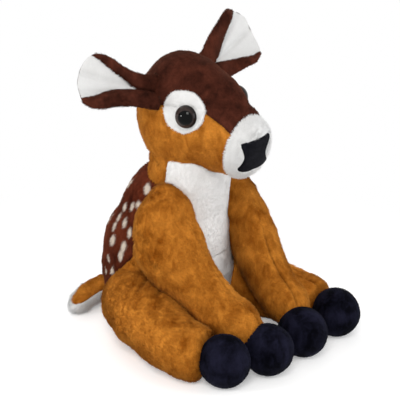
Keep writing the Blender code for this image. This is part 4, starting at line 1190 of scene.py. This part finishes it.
def make_head():
    rows = [(0, -NECK_FORWARD - MUZZLE_REACH * reach, HEAD_Z - MUZZLE_DROP * drop,
             SKULL_HALF_WIDTH * width, SKULL_HALF_HEIGHT * height)
            for reach, drop, width, height in HEAD_SHARES]
    loft = Loft(rows, -ACROSS, SKULL_DOME, MUZZLE_DOME, end_bluntness=MUZZLE_BLUNTNESS)
    tilt = head_tilt()
    slope, lean = math.radians(CROWN_SEAM_SLOPE), math.radians(MUZZLE_SEAM_LEAN)
    level = ((0, 0, CROWN_SEAM_Z), UP)
    falling = ((0, CROWN_SEAM_BEND_Y, CROWN_SEAM_Z), (0, -math.sin(slope), math.cos(slope)))
    muzzle = ((0, MUZZLE_SEAM_Y, MUZZLE_SEAM_Z), (0, -math.cos(lean), -math.sin(lean)))
    regions = [
        ("muzzle", [muzzle]), ("crown", [level]), ("crown", [falling]),
        ("cheek_right", [((0, 0, 0), -ACROSS)]), ("cheek_left", [((0, 0, 0), ACROSS)])]
    bm = loft.bmesh(*HEAD_MESH)
    tree = BVHTree.FromBMesh(bm)
    skin = Skin(bm, [level, falling, muzzle, ((0, 0, 0), ACROSS)], regions, tilt)
    skin.rise += swell(skin)
    skin.seam(depth=1.1 * MM, width=1.4 * MM)
    skin.lumps(3, size=26 * MM, height=0.7 * MM)
    skin.lumps(4, size=8 * MM, height=0.2 * MM)
    skin.settle(floor=False)
    looks = [
        ("muzzle", "white_plush", "muzzle_cloth", ["muzzle_panel"]),
        ("crown", "dark_brown_plush", "crown_cloth", ["crown_panel"]),
        ("cheek_right", "tan_plush", "cheek_cloth_right", ["cheek_panel_right"]),
        ("cheek_left", "tan_plush", "cheek_cloth_left", ["cheek_panel_left"])]
    naps = {
        "all": Nap(toward((0, 1, -0.35)), length=2.3, density=1.3),
        "crown": Nap(toward((0, 1, 0.1)), length=2.1, density=1.3),
        "muzzle": Nap(toward((0, 1, -0.1)), length=3.2, lean=58, ruffle=0.5, density=1.8)}
    surface = BVHTree.FromPolygons(skin.points.tolist(), skin.faces)
    covers = [make_eye(side, sign, tree, surface, tilt) for side, sign in (("right", -1), ("left", 1))]
    place, normal = last_hit(tree, (NOSE_SHIFT, -NECK_FORWARD, NOSE_Z), -BACKWARD)
    rough = np.array(NOSE_SHARES + NOSE_SHARES[:1], float)
    smooth = Spline(np.concatenate((rough[-2:-1], rough, rough[1:2])), np.arange(len(rough) + 2))
    outline = smooth(1 + np.arange(NOSE_SIDES) / NOSE_SIDES * (len(rough) - 1))
    outline *= (NOSE_HALF_WIDTH, NOSE_HALF_HEIGHT)
    bm = laid_cloth(outline, surface, tilt @ basis(place, normal), *NOSE_CLOTH)
    nose = mesh_of("nose_cloth", bm, MATERIALS["nose_cloth"])
    covers.append(BVHTree.FromBMesh(bm))
    bm.free()
    finish_piece(nose, "head", "nose_cloth", ["nose"])

    def covered(points):
        """Where pile would come out under a patch of cloth."""
        return np.array([any(cover.find_nearest(Vector(point), PILE_GAP)[0] is not None
                             for cover in covers) for point in points])

    dress(skin, "head", looks, naps, TEXTILE_FILL["head"], 200, skip=covered)
    filling("head_filling", skin, "head", ["head_stuffing"])
    return tilt


# Ears

def ear_frame(sign):
    along = Vector(on_side(EAR_WAY, sign)).normalized()
    forward = Vector((0, -1, EAR_FACING_UP_SHARE))
    hollow = (forward - along * forward.dot(along)).normalized()
    over = hollow.cross(along)
    matrix = Matrix((along, over, hollow)).transposed().to_4x4()
    matrix.translation = Vector(on_side(EAR_ROOT, sign))
    return matrix


def make_ear(side, sign, tilt):
    """A cupped leaf of brown plush whose two long edges roll over its white lining."""
    matrix = tilt @ ear_frame(sign)
    outline = np.array(EAR_OUTLINES[sign])
    lining = np.array(LINING_OUTLINES[sign])
    cups = np.array(EAR_CUPS)
    limits = Spline(outline[:, 1:], outline[:, 0])
    wave = Noise(31 + sign, 11 * MM)
    half = EAR_WIDTH / 2
    end = outline[-1, 0]
    shares = np.linspace(0, 1, EAR_ROWS)
    lengths = end * (0.5 * np.sin(shares * np.pi / 2) + 0.5 * shares)
    across = np.sin(np.linspace(-np.pi / 2, np.pi / 2, EAR_COLUMNS))
    meet, start, full = EAR_CREASE_START
    grids, white_edge, crease_shades = [], [], []
    for length, (above, below) in zip(lengths, limits(lengths)):
        white_above, white_below = (np.interp(length, lining[:, 0], lining[:, k], left=0)
                                    for k in (1, 2))
        cup = np.interp(length, cups[:, 0], cups[:, 1])
        front, back, edges, shades = [], [], [], []
        for share in across:
            up = (above - below) / 2 + (above + below) / 2 * share
            white, rim = (white_above, above) if up > 0 else (white_below, below)
            y = sign * half * up
            band = (abs(up) - white) / max(rim - white, 0.01)
            roll = math.sqrt(max(1 - (2 * band - 1) ** 2, 0)) if 0 < band < 1 else 0
            puff = min(EAR_ROLL_SHARE * max(rim - white, 0) * half, EAR_ROLL)
            puff *= 1 + 0.35 * float(wave(np.array([[EAR_LENGTH * length, y, 0]]))[0])
            tip = min((end - length) / EAR_TIP_ROUNDING + 0.02, 1) ** 0.5
            closing = math.sqrt(max(1 - share ** 6, 0)) * tip
            crease = sum(math.exp(-((y - slope * EAR_LENGTH * (length - meet)) / EAR_CREASE_WIDTH) ** 2)
                         for slope in EAR_CREASES) * ramp(length, start, full)
            lift = EAR_LINING_LIFT + (puff * roll if band > 0 else -EAR_CREASE_DEPTH * crease)
            depth = EAR_CUP * cup * (y / half) ** 2
            front.append((EAR_LENGTH * length, y, depth + lift * closing))
            back.append((EAR_LENGTH * length, y, depth - (EAR_THICKNESS + 0.4 * puff * roll) * closing))
            edges.append(band)
            shade = EAR_LINING_SHADE + (1 - EAR_LINING_SHADE) * crease
            shades.append(min(shade, 1) if band <= 0 else 0)
        if sign < 0:
            front, back, edges, shades = front[::-1], back[::-1], edges[::-1], shades[::-1]
        grids.append((front, back))
        white_edge.append(edges)
        crease_shades.append(shades)
    bm = bmesh.new()
    verts = [[], []]
    for front, back in grids:
        verts[0].append([bm.verts.new(matrix @ Vector(place)) for place in front])
        inner = [bm.verts.new(matrix @ Vector(place)) for place in back[1:-1]]
        verts[1].append([verts[0][-1][0]] + inner + [verts[0][-1][-1]])
    regions = []
    for number, made in enumerate(verts):
        for r in range(EAR_ROWS - 1):
            for k in range(EAR_COLUMNS - 1):
                corners = (made[r][k], made[r][k + 1], made[r + 1][k + 1], made[r + 1][k])
                bm.faces.new(corners if number else corners[::-1])
                band = (white_edge[r][k] + white_edge[r + 1][k + 1]) / 2
                regions.append(1 if number == 0 and band <= 0 else 0)
    for end in (0, EAR_ROWS - 1):
        loop = verts[0][end] + verts[1][end][1:-1][::-1]
        bm.faces.new(loop if end else loop[::-1])
        regions.append(0)
    close_normals(bm)
    shell = Shell(bm)
    shell.region = np.array(regions)
    bands = np.abs(np.ravel(white_edge))
    places = np.array([v.co for row in verts[0] for v in row], float)
    tree = tree_of(places)
    # the lining lies in soft shade, darkest in its creases and where the brown edge meets it
    shade = np.maximum(0.6 * np.exp(-(bands / 0.10) ** 2), np.ravel(crease_shades))
    rim = tree_of([places[r * EAR_COLUMNS + k] for r in range(EAR_ROWS) for k in range(EAR_COLUMNS)
                   if white_edge[r][k] <= 0 and (k in (0, EAR_COLUMNS - 1) or r > EAR_ROWS - 4)])

    def near_white_rim(points):
        return np.array([rim.find(point)[2] < EAR_RIM_GAP for point in points])

    shell.groove_and_shade = np.array([shade[tree.find(point)[1]] for point in shell.points])
    body = "ear_" + side
    parts = (("ear_cloth_", 0, "dark_brown_plush", ["ear_outer_" + side]),
             ("ear_lining_cloth_", 1, "white_plush", ["ear_lining_" + side]))
    along = np.array(matrix.to_3x3() @ Vector((1, 0, 0)))
    for piece, region, slot, replaced in parts:
        part = bm.copy()
        part.faces.ensure_lookup_table()
        extra = [part.faces[k] for k in np.flatnonzero(shell.region != region)]
        bmesh.ops.delete(part, geom=extra, context="FACES")
        item = mesh_of(piece + side, part, MATERIALS[slot])
        part.free()
        write_values(item.data, "groove_and_shade", [shade[tree.find(v.co)[1]] for v in item.data.vertices])
        thicken(item, EAR_CLOTH[region])
        finish_piece(item, body, slot, replaced, TEXTILE_FILL["ear"])
        nap = Nap(toward(along), length=2.2 if region == 0 else 1.1, width=0.28, lean=56,
                  ruffle=0.4, density=1.3)
        pile = grow(piece + "pile_" + side, shell, region, nap, MATERIALS[slot + "_pile"],
                    400 + 10 * sign + region, skip=near_white_rim if region == 0 else None)
        finish_piece(pile, body, slot)
    bm.free()


# Legs

def ankle_rows(before, hoof_centre):
    away = unit(before - hoof_centre)
    radius = math.sqrt(HOOF_RADIUS ** 2 - HOOF_SEAM ** 2)
    return [(*(hoof_centre + away * HOOF_SEAM), radius, radius), (*hoof_centre, radius, radius)]


def front_leg_loft(sign, hoof_centre):
    shoulder = on_side(SHOULDER, sign)
    way = hoof_centre - shoulder
    rows = []
    for forward, down, outward, width, depth in FRONT_LEG_SHARES:
        place = shoulder + (way[0] * forward + sign * FRONT_LEG_OUT * outward, way[1] * forward,
                            way[2] * down)
        rows.append((*place, FRONT_LEG_WIDTH * width, FRONT_LEG_DEPTH * depth))
    rows += ankle_rows(np.array(rows[-1][:3]), hoof_centre)
    facing = math.radians(FRONT_LEG_FACING)
    thin = (sign * math.cos(facing), -math.sin(facing), 0)
    return Loft(rows, thin, SHOULDER_DOME, LEG_OVERLAP), rows


def hind_leg_loft(sign, hoof_centre, bow):
    hip = np.array((sign * HIP[0], HIP[1], 0))
    way = hoof_centre - hip
    rows = []
    for share, bend, size in HIND_LEG_SHARES:
        radius = HIND_LEG_RADIUS * size
        rows.append((hip[0] + way[0] * share + sign * bow * bend, hip[1] + way[1] * share,
                     radius - SEAT_CUT, radius, radius))
    rows += ankle_rows(np.array(rows[-1][:3]), hoof_centre)
    return Loft(rows, UP, HIP_DOME, LEG_OVERLAP), rows


def long_seam(sign, upper, hoof_centre):
    line = hoof_centre - upper
    normal = unit((line[1], -line[0], 0))
    return (tuple(upper), normal if normal[0] * sign > 0 else -normal)


def make_hoof(name, side, centre, outward, body):
    """A ball of short black velour, flat where it stands."""
    bm = ball(HOOF_RADIUS, *HOOF_MESH)
    for v in bm.verts:
        v.co = Vector(centre) + Vector((v.co.x, v.co.y * HOOF_FULLNESS,
                                        v.co.z * HOOF_FULLNESS + HOOF_RADIUS * (HOOF_FULLNESS - 1)))
    skin = Skin(bm, [], [("all", [])])
    skin.lumps(5 + len(name) + (side == "left"), size=16 * MM, height=0.35 * MM)
    skin.settle()
    mesh = smooth_mesh(name, skin.points, skin.faces)
    mesh.materials.append(MATERIALS["hoof_velour"])
    item = link(name + "_velour_" + side, mesh)
    finish_piece(item, body, "hoof_velour", [f"{name}_{side}"], TEXTILE_FILL["hoof"])
    nap = Nap(away_from(centre + outward * 60 * MM), length=0.9, width=0.26, lean=50, ruffle=0.5,
              density=0.9)
    pile = grow(f"{name}_pile_{side}", skin, 0, nap, MATERIALS["hoof_velour_pile"],
                500 + len(name), skip=lambda points: (points - centre) @ outward > HOOF_SEAM + 1 * MM)
    finish_piece(pile, body, "hoof_velour")


def make_leg(kind, side, sign, loft, rows, hoof_centre, split_row, folds, ruffle, seed):
    """One leg and its hoof. Its long seam runs from the row split_row to the hoof's centre."""
    split = long_seam(sign, np.array(rows[split_row][:3]), hoof_centre)
    end, before = np.array(rows[-1][:3]), np.array(rows[-2][:3])
    outward = unit(before - end)
    ankle_place = hoof_centre + outward * HOOF_SEAM
    ankle = (tuple(ankle_place), outward)
    regions = [("beyond", [flip(ankle)]), ("outer", [split]), ("inner", [flip(split)])]
    skin = Skin(loft.bmesh(*LEG_MESH), [split, ankle], regions)
    skin.rise += swell(skin)
    along = hoof_centre - np.array(rows[0][:3])
    reached = (skin.rest - np.array(rows[0][:3])) @ along / (along @ along)
    # the long seam hardly shows on the upper leg
    shown = np.maximum(ramp(reached, *LONG_SEAM_SHOWS), LONG_SEAM_LEAST)
    skin.seam(depth=1.2 * MM, width=1.3 * MM, share=shown)
    skin.lumps(seed, size=30 * MM, height=1.0 * MM)
    skin.lumps(seed + 1, size=9 * MM, height=0.3 * MM)
    from_ankle = (skin.rest - ankle_place) @ outward
    first = unit(np.cross(outward, UP))
    second = np.cross(outward, first)
    turn = np.arctan2((skin.rest - ankle_place) @ second, (skin.rest - ankle_place) @ first)
    gathers = np.sin(17 * turn + 2 * np.sin(3 * turn))
    skin.rise += GATHER_HEIGHT * gathers * np.exp(-np.maximum(from_ankle, 0) / GATHER_REACH)
    skin.folds(folds, sign)
    skin.settle()
    body = f"{kind}_{side}"
    looks = [
        ("outer", "tan_plush", f"{kind}_outer_cloth_{side}", [f"{kind}_outer_{side}"]),
        ("inner", "tan_plush", f"{kind}_inner_cloth_{side}", [f"{kind}_inner_{side}"])]
    way = hoof_centre - np.array(rows[1][:3])
    naps = {"all": Nap(toward(way), ruffle=ruffle)}
    dress(skin, body, looks, naps, TEXTILE_FILL["leg"], seed * 10)
    filling(f"{kind}_filling_{side}", skin, body, [f"{kind}_stuffing_{side}"])
    make_hoof(f"{kind}_hoof", side, hoof_centre, outward, body)


def make_legs():
    hoof_z = HOOF_RADIUS - SEAT_CUT
    for side, sign in (("right", -1), ("left", 1)):
        hind_hoof = np.array((sign * HIND_HOOF[0], HIND_HOOF[1] - sign * HIND_HOOF_SKEW, hoof_z))
        loft, rows = hind_leg_loft(sign, hind_hoof, HIND_LEG_BOWS[sign])
        make_leg("hind_leg", side, sign, loft, rows, hind_hoof, 1, HIND_LEG_FOLDS, 0.34, 60 + sign)
        front_hoof = np.array((sign * FRONT_HOOF[0] + FRONT_HOOF_SHIFT, FRONT_HOOF[1], hoof_z))
        loft, rows = front_leg_loft(sign, front_hoof)
        make_leg("front_leg", side, sign, loft, rows, front_hoof, 2, FRONT_LEG_FOLDS, 0.42, 70 + sign)


# Tail

def make_tail():
    rows = [(-TAIL_REACH * share, TAIL_BASE_Y + TAIL_OUT * back, TAIL_HEIGHT * height,
             TAIL_WIDTH * width, TAIL_DEPTH * depth)
            for share, back, height, width, depth in TAIL_SHARES]
    loft = Loft(rows, BACKWARD, TAIL_DOME, TAIL_DOME)
    fall = unit((rows[-1][2] - rows[0][2], 0, TAIL_REACH))
    split = ((0, 0, TAIL_HEIGHT + TAIL_WHITE_RISE), fall)
    skin = Skin(loft.bmesh(*TAIL_MESH), [split], [("top", [split]), ("underside", [flip(split)])])
    skin.rise += swell(skin)
    skin.seam(depth=0.9 * MM, width=1.2 * MM)
    skin.lumps(9, size=16 * MM, height=0.5 * MM)
    # painted shade towards the tail's root, against the body, which also shortens the pile there
    skin.groove_and_shade += ramp(skin.rest[:, 0], *TAIL_SHORT_PILE)
    skin.settle()
    looks = [("top", "tan_plush", "tail_top_cloth", ["tail_top"]),
             ("underside", "white_plush", "tail_underside_cloth", ["tail_underside"])]
    naps = {"top": Nap(toward((-1, 0.2, -0.2)), length=2.8, lean=52, density=1.3),
            "all": Nap(away_from((0.01, TAIL_BASE_Y, 0.035)), length=6.5, lean=44, ruffle=0.5,
                       density=2.2)}
    dress(skin, "tail", looks, naps, TEXTILE_FILL["tail"], 800)
    filling("tail_filling", skin, "tail", ["tail_stuffing"])


# Stage

def aim(item, place, way):
    item.location = place
    item.rotation_mode = "QUATERNION"
    item.rotation_quaternion = way.to_track_quat("-Z", "Y")


def area_light(name, place, width, height, power, colour):
    data = bpy.data.lights.new(name, "AREA")
    data.shape = "RECTANGLE"
    data.size, data.size_y = width, height
    data.energy = power
    data.color = colour
    aim(link(name, data), place, Vector(LIGHT_TARGET) - Vector(place))


def make_camera():
    data = bpy.data.cameras.new("camera")
    data.lens = CAMERA_LENS
    data.sensor_width = CAMERA_SENSOR
    data.clip_start, data.clip_end = 0.01, 50
    camera = link("camera", data)
    azimuth, elevation = math.radians(CAMERA_AZIMUTH), math.radians(CAMERA_ELEVATION)
    back = Vector((math.sin(azimuth) * math.cos(elevation), -math.cos(azimuth) * math.cos(elevation),
                   math.sin(elevation)))
    aim(camera, Vector(CAMERA_TARGET) + back * CAMERA_DISTANCE, -back)
    bpy.context.scene.camera = camera


def make_floor():
    """Pale paper that keeps the toy's shadow and turns plain white further out."""
    g = Graph(bpy.data.materials.new("floor_paper"))
    bm = bmesh.new()
    bmesh.ops.create_circle(bm, cap_ends=True, segments=96, radius=FLOOR_RADIUS)
    floor = mesh_of("floor", bm, g.owner)
    bm.free()
    floor.location = (0, 0, -0.05 * MM)
    seen = g.seen_directly()
    g.put(g.shader, {
        "Base Color": rgba(FLOOR_COLOUR), "Roughness": 1.0, "Specular IOR Level": 0.0,
        "Emission Color": rgba(PLAIN_WHITE), "Emission Strength": g.math("MULTIPLY", seen, FLOOR_GLOW)})
    length = g.node("ShaderNodeVectorMath", {0: g.places}, operation="LENGTH").outputs["Value"]
    fade = g.node("ShaderNodeMapRange", {
        "Value": length, "From Min": FLOOR_FADE[0], "From Max": FLOOR_FADE[1]},
        interpolation_type="SMOOTHSTEP").outputs["Result"]
    mixed = g.node("ShaderNodeMixShader", {
        0: g.math("MULTIPLY", fade, seen), 1: g.shader.outputs[0],
        2: g.node("ShaderNodeEmission").outputs[0]})
    g.link(mixed.outputs[0], g.tree.nodes["Material Output"].inputs["Surface"])


def make_stage():
    bpy.context.scene.view_settings.view_transform = "Standard"
    g = Graph(bpy.data.worlds.new("studio"), "Background")
    bpy.context.scene.world = g.owner
    g.put(g.shader, {"Color": rgba(PLAIN_WHITE),
                     "Strength": g.spread(g.seen_directly(), 0, 1, WORLD_LIGHT, 1)})
    make_floor()
    for light in LIGHTS:
        area_light(*light)


make_camera()
make_stage()
make_body()
tilt = make_head()
for side, sign in (("right", -1), ("left", 1)):
    make_ear(side, sign, tilt)
    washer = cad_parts["eye_washer_" + side]
    for number in range(len(washer.material_slots)):
        washer.material_slots[number].material = MATERIALS["washer_plastic"]
make_legs()
make_tail()

bpy.context.view_layer.update()
